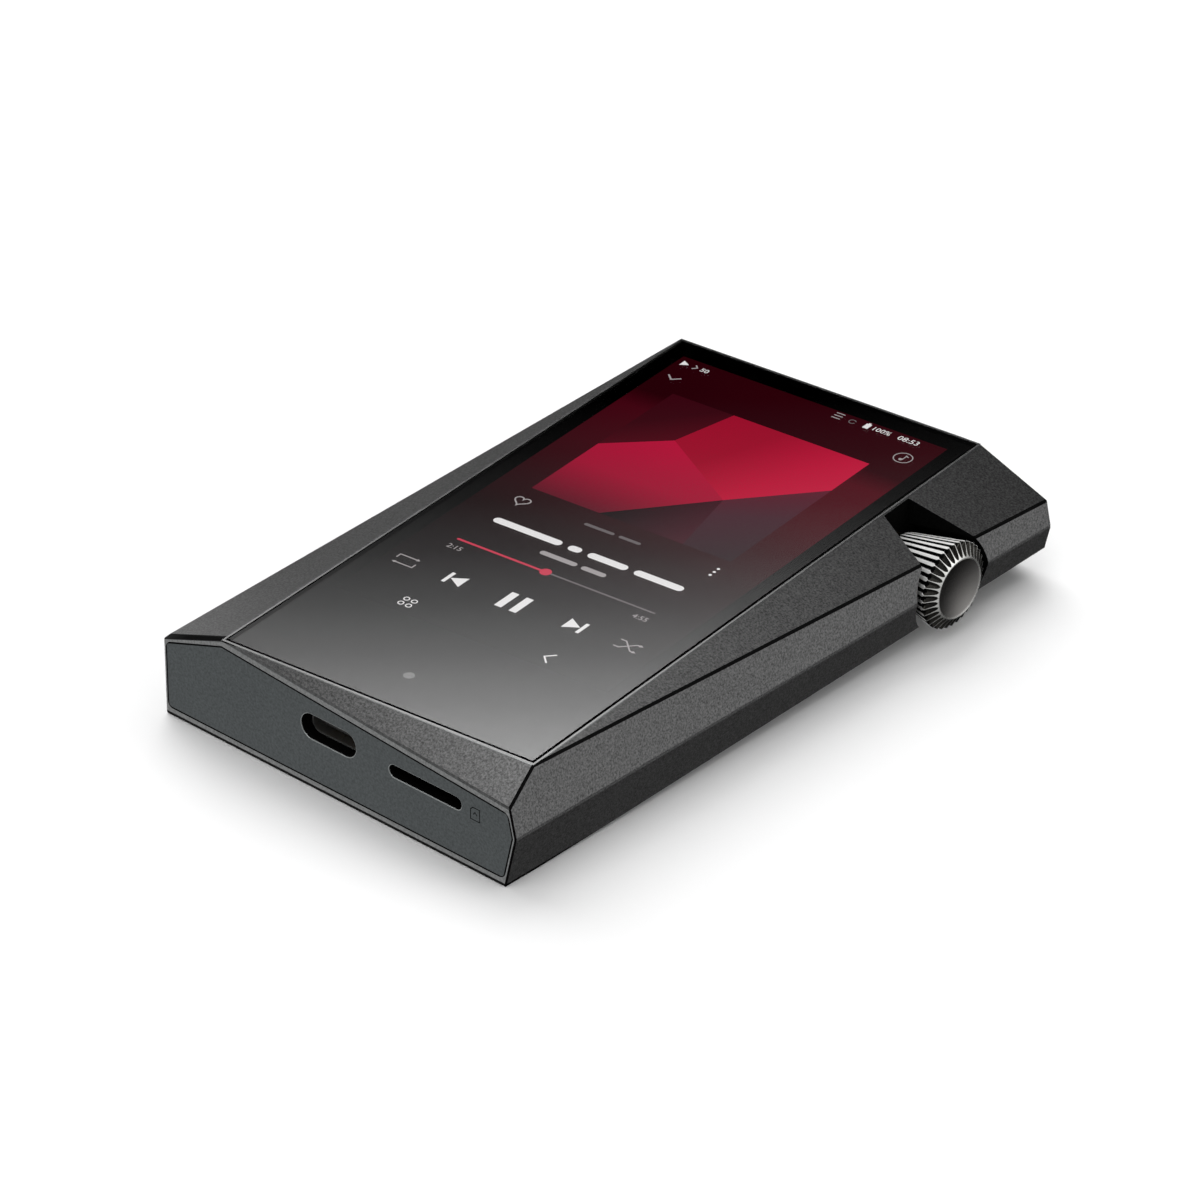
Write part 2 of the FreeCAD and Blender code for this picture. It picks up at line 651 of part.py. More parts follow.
def make_top_cap():
    body = make_cap("top_cap", "top")
    through = sketch_on(body, "jack_clearance", "XZ_Plane", z=f"-{END}")
    seats = sketch_on(body, "ring_seats", "XZ_Plane", z=f"-{END}")
    for _, across, bore, _, _ in JACKS:
        draw_circle(through, str(across), "jack_height", f"{bore} + jack_nose + slip")
        draw_circle(seats, str(across), "jack_height", f"{bore} + jack_nose + ring_wide")
    draw_slot(through, "power_across", "jack_height", "button_length + 2*button_play",
              "power_wide + 2*button_play")
    pocket(body, through, "cap_thick + 1", backwards=True)
    pocket(body, seats, "ring_deep", backwards=True)


def make_back_cover():
    body = new_body("back_cover")
    left, end = f"({CAVITY_LEFT} - 0.8*ledge + slip)", f"({CAVITY_END} + ledge - slip)"
    margin = "(cavity_margin - ledge + slip)"
    outline = sketch_on(body, "back_cover_outline", "XY_Plane")
    draw_outline(outline, back_outline(margin, left, end))
    pad(body, outline, "cover_thick")
    break_edges(body, "Fillet", "0.2", lambda edge: all(abs(v.Z) < 1e-6 for v in edge.Vertexes))

    glue = new_body("back_cover_adhesive")
    outer = sketch_on(glue, "cover_glue_outline", "XY_Plane", z="cover_thick")
    draw_outline(outer, back_outline(margin, left, end))
    pad(glue, outer, "cover_glue")
    inner = sketch_on(glue, "cover_glue_inside", "XY_Plane", z="cover_thick + cover_glue")
    draw_outline(inner, back_outline("cavity_margin", CAVITY_LEFT, CAVITY_END))
    pocket(glue, inner, "2*cover_glue")


# ---- knob and encoder ----------------------------------------------------------------------


def star(name, x, radius, depth):
    """A ring of ridges and flutes round the knob's axis, as a closed wire."""
    count = int(value("flute_count"))
    turn = math.pi / count
    axis_y, axis_z = value("knob_along"), value("knob_height")
    points = []
    for i in range(2 * count):
        reach = value(radius) - (value(depth) if i % 2 else 0.0)
        spot = (axis_y + reach * math.cos(i * turn), axis_z + reach * math.sin(i * turn))
        points.append(FreeCAD.Vector(value(x), *spot))
    wire = doc.addObject("Part::Feature", name)
    wire.Shape = Part.makePolygon(points + points[:1])
    return wire


def knob_rod(name, radius, start, end):
    return rod(name, "x", radius, start, end, "knob_along", "knob_height")


def make_knob():
    rings = [
        star("knob_root", "knob_inner", "knob_root_radius", "0.6*flute_depth"),
        star("knob_crest_ring", "knob_crest", "knob_crest_radius", "flute_depth"),
        star("knob_face", "knob_outer", "knob_face_radius", "0.1*flute_depth"),
    ]
    skin = doc.addObject("Part::Loft", "knob_skin")
    skin.Sections = rings
    skin.Solid = True
    skin.Ruled = True
    seat = knob_rod("dish_seat", "dish_radius + 0.02", "knob_outer - dish_thick", "knob_outer + 1")
    bore = knob_rod("knob_bore", "shaft_radius + 0.02", "knob_inner - 1", "knob_outer - 3")
    relief = knob_rod("bush_relief", "bush_radius + 0.4", "knob_inner - 1", "knob_inner + 1")
    keep("volume_knob", cut("volume_knob", skin, seat, bore, relief))

    disc = knob_rod("dish_disc", "dish_radius", "knob_outer - dish_thick", "knob_outer")
    ball = doc.addObject("Part::Sphere", "dish_ball")
    size = "((dish_radius - 0.25)^2/(2*dish_sag) + dish_sag/2)"
    bind(ball, "Radius", size)
    for axis, text in (("x", f"knob_outer - dish_sag + {size}"), ("y", "knob_along"),
                       ("z", "knob_height")):
        bind(ball, f"Placement.Base.{axis}", text)
    keep("knob_cap", cut("knob_cap", disc, ball))
    keep("encoder_shaft", knob_rod("encoder_shaft", "shaft_radius", "encoder_left + 0.9",
                                   "knob_outer - 3.2"))


def make_encoder():
    """A closed case with a detent disc inside, held in the wall by its bush and nut."""
    y = ("knob_along - encoder_half", "knob_along + encoder_half")
    z = ("knob_height - encoder_rise", "knob_height + encoder_rise")
    case = block("encoder_box", ("encoder_left", "encoder_right"), y, z)
    room = knob_rod("encoder_room", "3.0", "encoder_left + 0.8", "encoder_right - 1.2")
    way = knob_rod("encoder_way", "shaft_radius + 0.05", "encoder_right - 2", "encoder_right + 1")
    keep("encoder_case", cut("encoder_case", case, room, way))

    plate = knob_rod("disc_plate", "2.8", "encoder_left + 1.2", "encoder_left + 2")
    hole = knob_rod("disc_hole", "shaft_radius + 0.01", "encoder_left + 1", "encoder_left + 3")
    keep("encoder_disc", cut("encoder_disc", plate, hole))

    tube = knob_rod("bush_tube", "bush_radius", "encoder_right", "knob_inner - 0.3")
    inside = knob_rod("bush_inside", "shaft_radius + 0.05", "encoder_right - 1", "knob_inner")
    keep("encoder_bush", cut("encoder_bush", tube, inside))
    nut = doc.addObject("Part::Prism", "nut_blank")
    nut.Polygon = 6
    nut.Placement.Rotation = FreeCAD.Rotation(FreeCAD.Vector(0, 1, 0), 90)
    sizes = {"Circumradius": "nut_radius", "Height": "nut_thick",
             "Placement.Base.x": "notch_inner", "Placement.Base.y": "knob_along",
             "Placement.Base.z": "knob_height"}
    for path, text in sizes.items():
        bind(nut, path, text)
    thread = knob_rod("nut_thread", "bush_radius + 0.02", "notch_inner - 1", "knob_inner + 1")
    keep("encoder_nut", cut("encoder_nut", nut, thread))
    keep("encoder_board", block("encoder_board", ("encoder_left - 0.8", "encoder_left"),
                                ("knob_along - encoder_half - 0.6", "knob_along + encoder_half"),
                                z))


# ---- buttons -------------------------------------------------------------------------------


def make_side_button(index, name):
    """A button with a flange behind the wall and a plunger that reaches into its switch."""
    along = f"(button_first + {index}*button_pitch)"
    inside = f"({CAVITY_LEFT} + 0.05)"
    body = new_body(f"{name}_button")
    cap = sketch_on(body, f"{name}_cap", "YZ_Plane", z="-body_width/2 - button_proud")
    draw_slot(cap, along, "button_height", "button_length", "button_wide")
    pad(body, cap, f"{inside} + body_width/2 + button_proud")
    break_edges(body, "Fillet", "0.25",
                lambda edge: all(v.X < value("-body_width/2") for v in edge.Vertexes))
    flange = sketch_on(body, f"{name}_flange", "YZ_Plane", z=inside)
    draw_slot(flange, along, "button_height", "button_length + 2*flange_over",
              "button_wide + 2*flange_over")
    pad(body, flange, "flange_thick")
    back = f"({inside} + flange_thick)"
    keep(f"{name}_plunger", rod(f"{name}_plunger", "x", "plunger_radius", back,
                                f"{back} + switch_gap + 0.3", along, "button_height"))


def make_side_switches():
    face = f"({CAVITY_LEFT} + 0.05 + flange_thick + switch_gap)"
    rear = f"({face} + switch_deep)"
    switches = []
    for i, name in enumerate(SIDE_BUTTONS):
        along = f"(button_first + {i}*button_pitch)"
        shell = block(f"{name}_switch_box", (face, rear), (f"{along} - 2", f"{along} + 2"),
                      ("button_height - 1.6", "button_height + 1.6"))
        mouth = rod(f"{name}_switch_mouth", "x", "plunger_radius + 0.1", f"{face} - 1",
                    f"{face} + 0.3 + button_travel + 0.15", along, "button_height")
        switches.append(cut(f"{name}_switch", shell, mouth))
    group("side_switches", switches)
    span = (f"button_first - 5", f"button_first + 2*button_pitch + 5")
    keep("side_key_board", block("side_key_board", (rear, f"{rear} + key_board_thick"), span,
                                 ("button_height - 2", "button_height + 2")))
    keep("side_flex", block("side_flex", (f"({rear} + key_board_thick)", f"({CAVITY_LEFT} + 7.5)"),
                            ("10", "13"), (BOARD_TOP, f"{BOARD_TOP} + 0.2")))


def make_power_button():
    inside = f"({CAVITY_END} - 0.05)"
    body = new_body("power_button")
    cap = sketch_on(body, "power_cap", "XZ_Plane", z=f"-({END} + button_proud)")
    draw_slot(cap, "power_across", "jack_height", "button_length", "power_wide")
    pad(body, cap, f"{END} + button_proud - {inside}")
    break_edges(body, "Fillet", "0.25",
                lambda edge: all(v.Y > value(END) for v in edge.Vertexes))
    flange = sketch_on(body, "power_flange", "XZ_Plane", z=f"-{inside}")
    draw_slot(flange, "power_across", "jack_height", "button_length + 2*flange_over",
              "power_wide + 2*flange_over")
    pad(body, flange, "flange_thick")
    back = f"({inside} - flange_thick)"
    keep("power_plunger", rod("power_plunger", "y", "plunger_radius",
                              f"{back} - switch_gap - 0.3", back, "power_across", "jack_height"))
    face = f"({back} - switch_gap)"
    rear = f"({face} - switch_deep)"
    shell = block("power_switch_box", ("power_across - 2", "power_across + 2"), (rear, face),
                  ("jack_height - 1.6", "jack_height + 1.6"))
    mouth = rod("power_switch_mouth", "y", "plunger_radius + 0.1",
                f"{face} - 0.3 - button_travel - 0.15", f"{face} + 1", "power_across", "jack_height")
    keep("power_switch", cut("power_switch", shell, mouth))
    keep("power_key_board", block("power_key_board", ("power_across - 4.5", "power_across + 4.5"),
                                  (f"{rear} - key_board_thick", rear),
                                  ("audio_low + audio_thick", "jack_height + 2.5")))


# ---- sockets and jacks ---------------------------------------------------------------------


def make_usb_socket():
    """A sheet-metal shell round a tongue that carries contacts on both faces."""
    mouth = f"(-{END} + usb_recess)"
    shell = new_body("usb_shell")
    outline = sketch_on(shell, "usb_outline", "XZ_Plane", z=f"-({mouth})")
    draw_slot(outline, "usb_across", "usb_height", "usb_wide", "usb_high")
    pad(shell, outline, "usb_deep", backwards=True)
    inside = sketch_on(shell, "usb_inside", "XZ_Plane", z=f"-({mouth})")
    draw_slot(inside, "usb_across", "usb_height", "usb_wide - 2*usb_sheet",
              "usb_high - 2*usb_sheet")
    pocket(shell, inside, "usb_deep + 1")

    rear = f"({mouth} + usb_deep)"
    root = new_body("usb_tongue")
    plug = sketch_on(root, "usb_root", "XZ_Plane", z=f"-({rear} - 1.4)")
    draw_slot(plug, "usb_across", "usb_height", "usb_wide - 2*usb_sheet - 0.04",
              "usb_high - 2*usb_sheet - 0.04")
    pad(root, plug, "1.4", backwards=True)
    blade = sketch_on(root, "usb_blade", "XZ_Plane", z=f"-({mouth} + 0.7)")
    draw_rectangle(blade, "6.69", "0.7", x="usb_across", y="usb_height")
    pad(root, blade, "usb_deep - 1.5", backwards=True)

    strips = []
    for side, low, high in (("upper", "usb_height + 0.35", "usb_height + 0.4"),
                            ("lower", "usb_height - 0.4", "usb_height - 0.35")):
        for i in range(12):
            left = f"(usb_across - 2.875 + {i}*0.5)"
            strips.append(block(f"usb_{side}_{i}", (left, f"{left} + 0.25"),
                                (f"{mouth} + 1.1", f"{rear} - 1.6"), (low, high)))
    group("usb_contacts", strips)


def make_card_socket():
    """A plastic base with side rails and a metal cover; the card slides in between."""
    x = ("card_across - 7.2", "card_across + 7.2")
    y = (f"-{CAVITY_END} + 0.1", f"-{CAVITY_END} + 14.8")
    floor = block("card_floor", x, y, (BOARD_TOP, "card_height - 0.5"))
    rails = [
        block("card_rail_left", (x[0], f"{x[0]} + 1.2"), y, (BOARD_TOP, "card_height + 0.5")),
        block("card_rail_right", (f"{x[1]} - 1.2", x[1]), y, (BOARD_TOP, "card_height + 0.5")),
        block("card_stop", x, (f"{y[1]} - 1", y[1]), (BOARD_TOP, "card_height + 0.5")),
    ]
    keep("card_socket_base", fuse("card_socket_base", floor, *rails))
    keep("card_socket_cover", block("card_socket_cover", x, y,
                                    ("card_height + 0.5", "card_height + 0.7")))


def make_jack(name, across, bore, half, depth):
    """A jack: a moulded body with a round nose and a blind bore, and its trim ring."""
    x, front = str(across), f"({CAVITY_END} - 0.1)"
    tip = f"({END} - ring_deep - 0.1)"
    moulding = block(f"jack_{name}_box", (f"{x} - {half}", f"{x} + {half}"),
                     (f"{tip} - {depth} - 1.5", front),
                     ("audio_low + audio_thick", f"jack_height + {half}"))
    nose = rod(f"jack_{name}_nose", "y", f"{bore} + jack_nose", f"{front} - 1", tip, x,
               "jack_height")
    hole = rod(f"jack_{name}_bore", "y", str(bore), f"{tip} - {depth}", f"{tip} + 1", x,
               "jack_height")
    whole = fuse(f"jack_{name}_whole", moulding, nose)
    keep(f"jack_{name}", cut(f"jack_{name}", whole, hole))

    outer = rod(f"ring_{name}_outer", "y", f"{bore} + jack_nose + ring_wide - 0.03",
                f"{END} - ring_deep", f"{END} + ring_proud", x, "jack_height")
    inner = rod(f"ring_{name}_inner", "y", f"{bore} + 0.15", f"{END} - 2", f"{END} + 1", x,
                "jack_height")
    plain = cut(f"ring_{name}_plain", outer, inner)
    rounded = doc.addObject("Part::Fillet", f"jack_{name}_ring")
    rounded.Base = plain
    doc.recompute()
    outside = value(f"{END} + ring_proud")
    rounded.Edges = [(i, 0.09, 0.09) for i, edge in enumerate(plain.Shape.Edges, start=1)
                     if all(abs(v.Y - outside) < 1e-6 for v in edge.Vertexes)]
    keep(f"jack_{name}_ring", rounded)


# ---- boards, battery and fasteners ---------------------------------------------------------


def make_boards():
    """The main board lies over the battery; the audio board carries the jacks."""
    body = new_body("main_board")
    outline = sketch_on(body, "main_outline", "XY_Plane", z="board_low")
    left, end = f"({CAVITY_LEFT} + board_gap)", f"({CAVITY_END} - board_gap)"
    step = f"({CAVITY_LEFT} + 5)"
    draw_outline(outline, [
        (left, f"-{end}"), ("bay_right - board_gap", f"-{end}"),
        ("bay_right - board_gap", "bay_top - board_gap"), (step, "bay_top - board_gap"),
        (step, "-4.2"), (left, "-4.2")])
    pad(body, outline, "board_thick")
    holes = sketch_on(body, "main_holes", "XY_Plane", z=BOARD_TOP)
    for x, y in POSTS:
        draw_circle(holes, x, y, "screw_radius + 0.1")
    pocket(body, holes, "board_thick + 1")

    audio_top = "(audio_low + audio_thick)"
    keep("audio_board", block("audio_board", ("-29.2", "9.6"), ("26", "50.3"),
                              ("audio_low", audio_top)))
    keep("processor_shield", block("processor_shield", ("-8", "14"), ("-14", "8"),
                                   (BOARD_TOP, f"{BOARD_TOP} + 1.8")))
    keep("audio_shield", block("audio_shield", ("-14", "8"), ("26.6", "31.5"),
                               (audio_top, f"{audio_top} + 2")))
    spots = [(-24, -30, 9, 7, 1.0), (-12, -34, 6, 6, 0.9), (2, -32, 5, 8, 1.2),
             (18, -22, 7, 7, 1.0), (19, 2, 6, 9, 0.9), (-22, 8, 6, 6, 0.8)]
    chips = [block(f"chip_{i}", (str(x), str(x + wide)), (str(y), str(y + long)),
                   (BOARD_TOP, f"{BOARD_TOP} + {high}"))
             for i, (x, y, wide, long, high) in enumerate(spots)]
    group("board_chips", chips)
    screws = []
    for i, (x, y) in enumerate(POSTS):
        shank = doc.addObject("Part::Cylinder", f"screw_shank_{i}")
        head = doc.addObject("Part::Cylinder", f"screw_head_{i}")
        sizes = ((shank, "screw_radius - 0.02", "board_thick + 2.6", "board_low"),
                 (head, "2*screw_radius", "0.5", "board_low - 0.5"))
        for solid, radius, height, low in sizes:
            bind(solid, "Radius", radius)
            bind(solid, "Height", height)
            for axis, text in (("x", x), ("y", y), ("z", low)):
                bind(solid, f"Placement.Base.{axis}", text)
        screws.append(fuse(f"board_screw_{i}", shank, head))
    group("board_screws", screws)


def make_battery():
    low, top = "battery_low", "(battery_low + battery_thick)"
    keep("battery", block("battery", ("-24", "19.4"), ("-46", "19"), (low, top)))
    keep("battery_circuit", block("battery_circuit", ("-24", "10"), ("19.1", "22"),
                                  ("battery_low + 1", f"{top} - 1")))
    keep("battery_pads", block("battery_pads", ("-20", "15"), ("-40", "14"),
                               ("cover_thick", low)))
    keep("battery_lead", block("battery_lead", ("-21", "-17"), ("22.05", "22.35"),
                               ("battery_low + 1.5", "board_low")))
    keep("antenna_flex", block("antenna_flex", ("-10", "8"), ("32", "46"),
                               ("cover_thick", "cover_thick + 0.2")))


def export_parts():
    """Checks every object and sub-part, then writes one STEP file for each sub-part."""
    doc.recompute()
    for thing in doc.Objects:
        if {"Invalid", "Error"} & set(thing.State):
            raise RuntimeError(f"{thing.Name} is {thing.State}")
    for label, thing in parts:
        if thing.Shape.isNull() or not thing.Shape.isValid():
            raise RuntimeError(f"{label} has no valid shape")
        if not thing.Shape.Solids:
            raise RuntimeError(f"{label} has no solid")
    os.makedirs("parts", exist_ok=True)
    for label, thing in parts:
        thing.Shape.exportStep(f"parts/{label}.step")
        volume = sum(solid.Volume for solid in thing.Shape.Solids)
        print(f"{label}: {len(thing.Shape.Solids)} solid(s), {volume:.1f} mm3")


fill_sheet()
make_housing()
make_display()
make_bottom_cap()
make_top_cap()
make_back_cover()
make_knob()
make_encoder()
for position, button in enumerate(SIDE_BUTTONS):
    make_side_button(position, button)
make_side_switches()
make_power_button()
make_usb_socket()
make_card_socket()
for jack in JACKS:
    make_jack(*jack)
make_boards()
make_battery()
export_parts()
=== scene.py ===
"""Looks for the pocket digital audio player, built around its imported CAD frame.

Lengths in the tables are millimetres; mm() turns them into the frame's metres. Places on the deck
are (u, v): across and along the deck, from its centre, in axes turned with the deck in plan.
"""

import math

import bmesh
import bpy
from mathutils import Matrix, Vector


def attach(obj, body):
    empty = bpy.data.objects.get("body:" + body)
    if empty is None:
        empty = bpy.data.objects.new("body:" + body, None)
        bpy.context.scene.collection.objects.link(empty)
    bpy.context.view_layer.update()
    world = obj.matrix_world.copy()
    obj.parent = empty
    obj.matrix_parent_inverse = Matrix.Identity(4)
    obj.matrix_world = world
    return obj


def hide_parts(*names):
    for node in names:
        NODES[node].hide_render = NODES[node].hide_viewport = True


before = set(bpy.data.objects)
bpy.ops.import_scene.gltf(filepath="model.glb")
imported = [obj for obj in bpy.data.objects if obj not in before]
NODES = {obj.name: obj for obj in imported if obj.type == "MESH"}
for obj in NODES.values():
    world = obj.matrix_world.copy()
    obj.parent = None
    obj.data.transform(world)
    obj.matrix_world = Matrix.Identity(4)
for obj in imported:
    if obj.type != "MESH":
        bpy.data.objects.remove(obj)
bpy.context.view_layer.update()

TILT = math.radians(6.1)
DECK_X = -0.88
DECK_Z = 16.0
GLASS_TOP = 16.1
GLASS_LOW = 15.36
DECK_W, DECK_L = 51.34, 103.6
RIM = 0.5
HALF_W, HALF_L = 64.07 / 2, 108.35 / 2
LEAN = math.radians(13.2)
KNOB_Y, KNOB_Z = 32.85, 7.7
SCREEN = (-22.5, 22.5, -31.7, 48.0)  # lit area, u then v
PRINT_LOW, PRINT_TOP = 15.335, 15.35  # the black print under the glass
UI_Z = 15.305  # where the shapes that the screen shows begin
# the glass bends the line of sight, so what lies under it is placed further from the camera
UNDER_GLASS = (-0.33, 0.45)


def mm(*point):
    return Vector(point) / 1000.0


def deck_point(u, v, z):
    """A place on the deck as a point of the frame, in metres."""
    x = DECK_X + u * math.cos(TILT) - v * math.sin(TILT)
    y = u * math.sin(TILT) + v * math.cos(TILT)
    return mm(x, y, z)


# ---- materials -----------------------------------------------------------------------------


def srgb(text):
    """Linear colour of a six-digit hexadecimal one."""
    out = []
    for i in (0, 2, 4):
        c = int(text[i:i + 2], 16) / 255
        out.append(c / 12.92 if c <= 0.04045 else ((c + 0.055) / 1.055) ** 2.4)
    return (*out, 1.0)


def scaled(colour, factor):
    return (*(min(1.0, c * factor) for c in colour[:3]), 1.0)


class Paint:
    """A node material round one Principled shader."""

    def __init__(self, name, **sockets):
        self.material = bpy.data.materials.new(name)
        self.material.use_nodes = True
        self.tree = self.material.node_tree
        self.shader = self.tree.nodes["Principled BSDF"]
        for key, setting in sockets.items():
            self.shader.inputs[self.label(key)].default_value = setting
        self.place = self.node("ShaderNodeTexCoord").outputs["Object"]

    @staticmethod
    def label(key):
        return key.replace("_", " ").title().replace("Ior", "IOR")

    def node(self, kind, **inputs):
        made = self.tree.nodes.new(kind)
        for key, setting in inputs.items():
            self.put(made.inputs[key.replace("_", " ")], setting)
        return made

    def put(self, socket, setting):
        if isinstance(setting, bpy.types.NodeSocket):
            self.tree.links.new(setting, socket)
        else:
            socket.default_value = setting

    def stretch(self, scale, turn=(0, 0, 0)):
        """Object coordinates, turned and scaled."""
        mapping = self.node("ShaderNodeMapping", Vector=self.place, Rotation=turn, Scale=scale)
        return mapping.outputs["Vector"]

    def noise(self, scale, detail=2.0, roughness=0.5, place=None):
        made = self.node("ShaderNodeTexNoise", Vector=place or self.place, Scale=scale,
                         Detail=detail, Roughness=roughness)
        return made.outputs["Fac"]

    def ramp(self, fac, *stops):
        """A colour ramp; stops are (position, colour)."""
        made = self.node("ShaderNodeValToRGB", Fac=fac)
        elements = made.color_ramp.elements
        while len(elements) < len(stops):
            elements.new(0.5)
        for element, (position, colour) in zip(elements, stops):
            element.position = position
            element.color = colour
        return made.outputs["Color"]

    def grey(self, fac, low, high, start=0.0, end=1.0):
        """A number ramp from low to high."""
        made = self.node("ShaderNodeMapRange")
        self.put(made.inputs["Value"], fac)
        made.inputs["From Min"].default_value = start
        made.inputs["From Max"].default_value = end
        made.inputs["To Min"].default_value = low
        made.inputs["To Max"].default_value = high
        return made.outputs["Result"]

    def times(self, first, second, factor=1.0):
        made = self.tree.nodes.new("ShaderNodeMix")
        made.data_type = "RGBA"
        made.blend_type = "MULTIPLY"
        self.put(made.inputs[0], factor)
        self.put(made.inputs[6], first)
        self.put(made.inputs[7], second)
        return made.outputs[2]

    def mix(self, factor, first, second):
        made = self.tree.nodes.new("ShaderNodeMix")
        made.data_type = "RGBA"
        self.put(made.inputs[0], factor)
        self.put(made.inputs[6], first)
        self.put(made.inputs[7], second)
        return made.outputs[2]

    def bump(self, height, distance, strength):
        made = self.node("ShaderNodeBump", Height=height, Distance=distance, Strength=strength)
        return made.outputs["Normal"]

    def wire(self, **sockets):
        for key, setting in sockets.items():
            self.put(self.shader.inputs[self.label(key)], setting)
        return self.material


def blasted(name, colour, roughness=0.46, grain=2900.0, depth=0.000006, contrast=0.3):
    """Bead-blasted and anodised aluminium: fine grain, faint clouding."""
    p = Paint(name, metallic=1.0)
    fine = p.noise(grain, 3.0, 0.7)
    cloud = p.noise(70.0, 2.0)
    speck = p.mix(p.grey(fine, 0.0, 1.0, 0.34, 0.66), scaled(colour, 1 - contrast),
                  scaled(colour, 1 + contrast))
    tone = p.mix(cloud, (0.94, 0.94, 0.94, 1), (1.06, 1.06, 1.06, 1))
    return p.wire(base_color=p.times(speck, tone),
                  roughness=p.grey(fine, roughness - 0.06, roughness + 0.08),
                  normal=p.bump(fine, depth, 0.6))


def polished(name, colour, roughness=0.18, metallic=1.0):
    """A cut and polished face with very fine tool marks."""
    p = Paint(name, metallic=metallic)
    marks = p.noise(3000.0, 2.0, place=p.stretch((1.0, 0.05, 1.0)))
    wear = p.noise(240.0, 4.0, 0.7)
    return p.wire(base_color=p.mix(wear, scaled(colour, 0.85), scaled(colour, 1.12)),
                  roughness=p.grey(marks, roughness - 0.05, roughness + 0.1),
                  normal=p.bump(marks, 0.000001, 0.3))


def moulded(name, colour, roughness=0.5, grain=9000.0, depth=0.000004, shine=0.5):
    """Fine-grained moulded plastic."""
    p = Paint(name, specular_ior_level=shine)
    fine = p.noise(grain, 2.0)
    cloud = p.noise(120.0, 3.0)
    return p.wire(base_color=p.mix(cloud, scaled(colour, 0.85), scaled(colour, 1.15)),
                  roughness=p.grey(fine, roughness - 0.08, roughness + 0.1),
                  normal=p.bump(fine, depth, 0.5))


def black_shade_and_mark(name, roughness=0.42, shine=0.02):
    """Black that stays black at any angle: painted shade and painted dark reflection on chamfers,
    gaps, cut walls and knob grooves, and the black of the card mark and the glass edge.
    """
    p = Paint(name, specular_ior_level=shine)
    marks = p.noise(2600.0, 2.0)
    return p.wire(base_color=p.mix(marks, (0.001, 0.001, 0.001, 1), (0.005, 0.005, 0.005, 1)),
                  roughness=p.grey(marks, roughness - 0.08, roughness + 0.12),
                  normal=p.bump(marks, 0.000002, 0.3))


def lit(name, *stops, turn=0.0, start=0.0, end=1.0):
    """A shape shown by the screen: one colour, or a ramp along a line of the deck (mm)."""
    p = Paint(name, base_color=(0.0, 0.0, 0.0, 1.0), specular_ior_level=0.0, emission_strength=1.0)
    glow = p.noise(260.0, 2.0)
    if len(stops) == 1:
        colour = stops[0]
        return p.wire(emission_color=p.mix(glow, scaled(colour, 0.97), scaled(colour, 1.03)))
    turned = p.stretch((1.0, 1.0, 1.0), (0.0, 0.0, -TILT - math.radians(turn)))
    along = p.node("ShaderNodeSeparateXYZ", Vector=turned).outputs["X"]
    ramp = p.ramp(p.grey(along, 0.0, 1.0, start / 1000.0, end / 1000.0), *stops)
    tone = p.mix(glow, (0.97, 0.97, 0.97, 1), (1.0, 1.0, 1.0, 1))
    return p.wire(emission_color=p.times(ramp, tone))


# ---- mesh helpers --------------------------------------------------------------------------


def new_piece(name, mesh_or_bm, materials, body="player", stands_for=()):
    """A finished piece of the player: linked, painted, riding on its body."""
    mesh = mesh_or_bm
    if isinstance(mesh_or_bm, bmesh.types.BMesh):
        mesh = bpy.data.meshes.new(name)
        mesh_or_bm.to_mesh(mesh)
        mesh_or_bm.free()
    thing = bpy.data.objects.new(name, mesh)
    bpy.context.scene.collection.objects.link(thing)
    for material in materials:
        mesh.materials.append(material)
    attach(thing, body)
    if stands_for:
        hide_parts(*stands_for)
    return thing


def clean_copy(node):
    """A bmesh of a CAD node with its flat regions as single faces."""
    bm = bmesh.new()
    bm.from_mesh(NODES[node].data)
    bmesh.ops.remove_doubles(bm, verts=bm.verts, dist=1e-7)
    bmesh.ops.dissolve_limit(bm, angle_limit=math.radians(0.3), verts=bm.verts, edges=bm.edges,
                             delimit=set())
    bm.normal_update()
    return bm


def paint_node(name, material):
    """Gives a CAD node its material."""
    node = NODES[name]
    node.data.materials.clear()
    node.data.materials.append(material)


def plane_cut(bm, point, normal, index):
    """Cuts away what lies beyond a plane, and closes the cut with a face of a given material."""
    geometry = bm.verts[:] + bm.edges[:] + bm.faces[:]
    result = bmesh.ops.bisect_plane(bm, geom=geometry, dist=1e-8, plane_co=point, plane_no=normal,
                                    clear_outer=True)
    rim = [e for e in result["geom_cut"] if isinstance(e, bmesh.types.BMEdge) and e.is_boundary]
    for face in bmesh.ops.holes_fill(bm, edges=rim, sides=0)["faces"]:
        face.material_index = index
    bm.normal_update()


def chamfer(bm, first, second, first_leg, second_leg, index):
    """A flat chamfer where two planes meet, cut so far back along each of them (mm)."""
    (p1, n1), (p2, n2) = PLANES[first], PLANES[second]
    sum_of_both = n1 * first_leg + n2 * second_leg
    depth = first_leg * second_leg * math.sin(n1.angle(n2)) / sum_of_both.length
    along = n1.cross(n2)
    meet = Matrix((n1, n2, along)).inverted() @ Vector((n1.dot(p1), n2.dot(p2), along.dot(p1)))
    normal = sum_of_both.normalized()
    plane_cut(bm, meet - normal * depth / 1000.0, normal, index)


# ---- planes of the outer form --------------------------------------------------------------

U = Vector((math.cos(TILT), math.sin(TILT), 0))
V = Vector((-math.sin(TILT), math.cos(TILT), 0))
Z = Vector((0, 0, 1))


def leaning(direction, degrees):
    angle = math.radians(degrees)
    return direction * math.sin(angle) + Z * math.cos(angle)


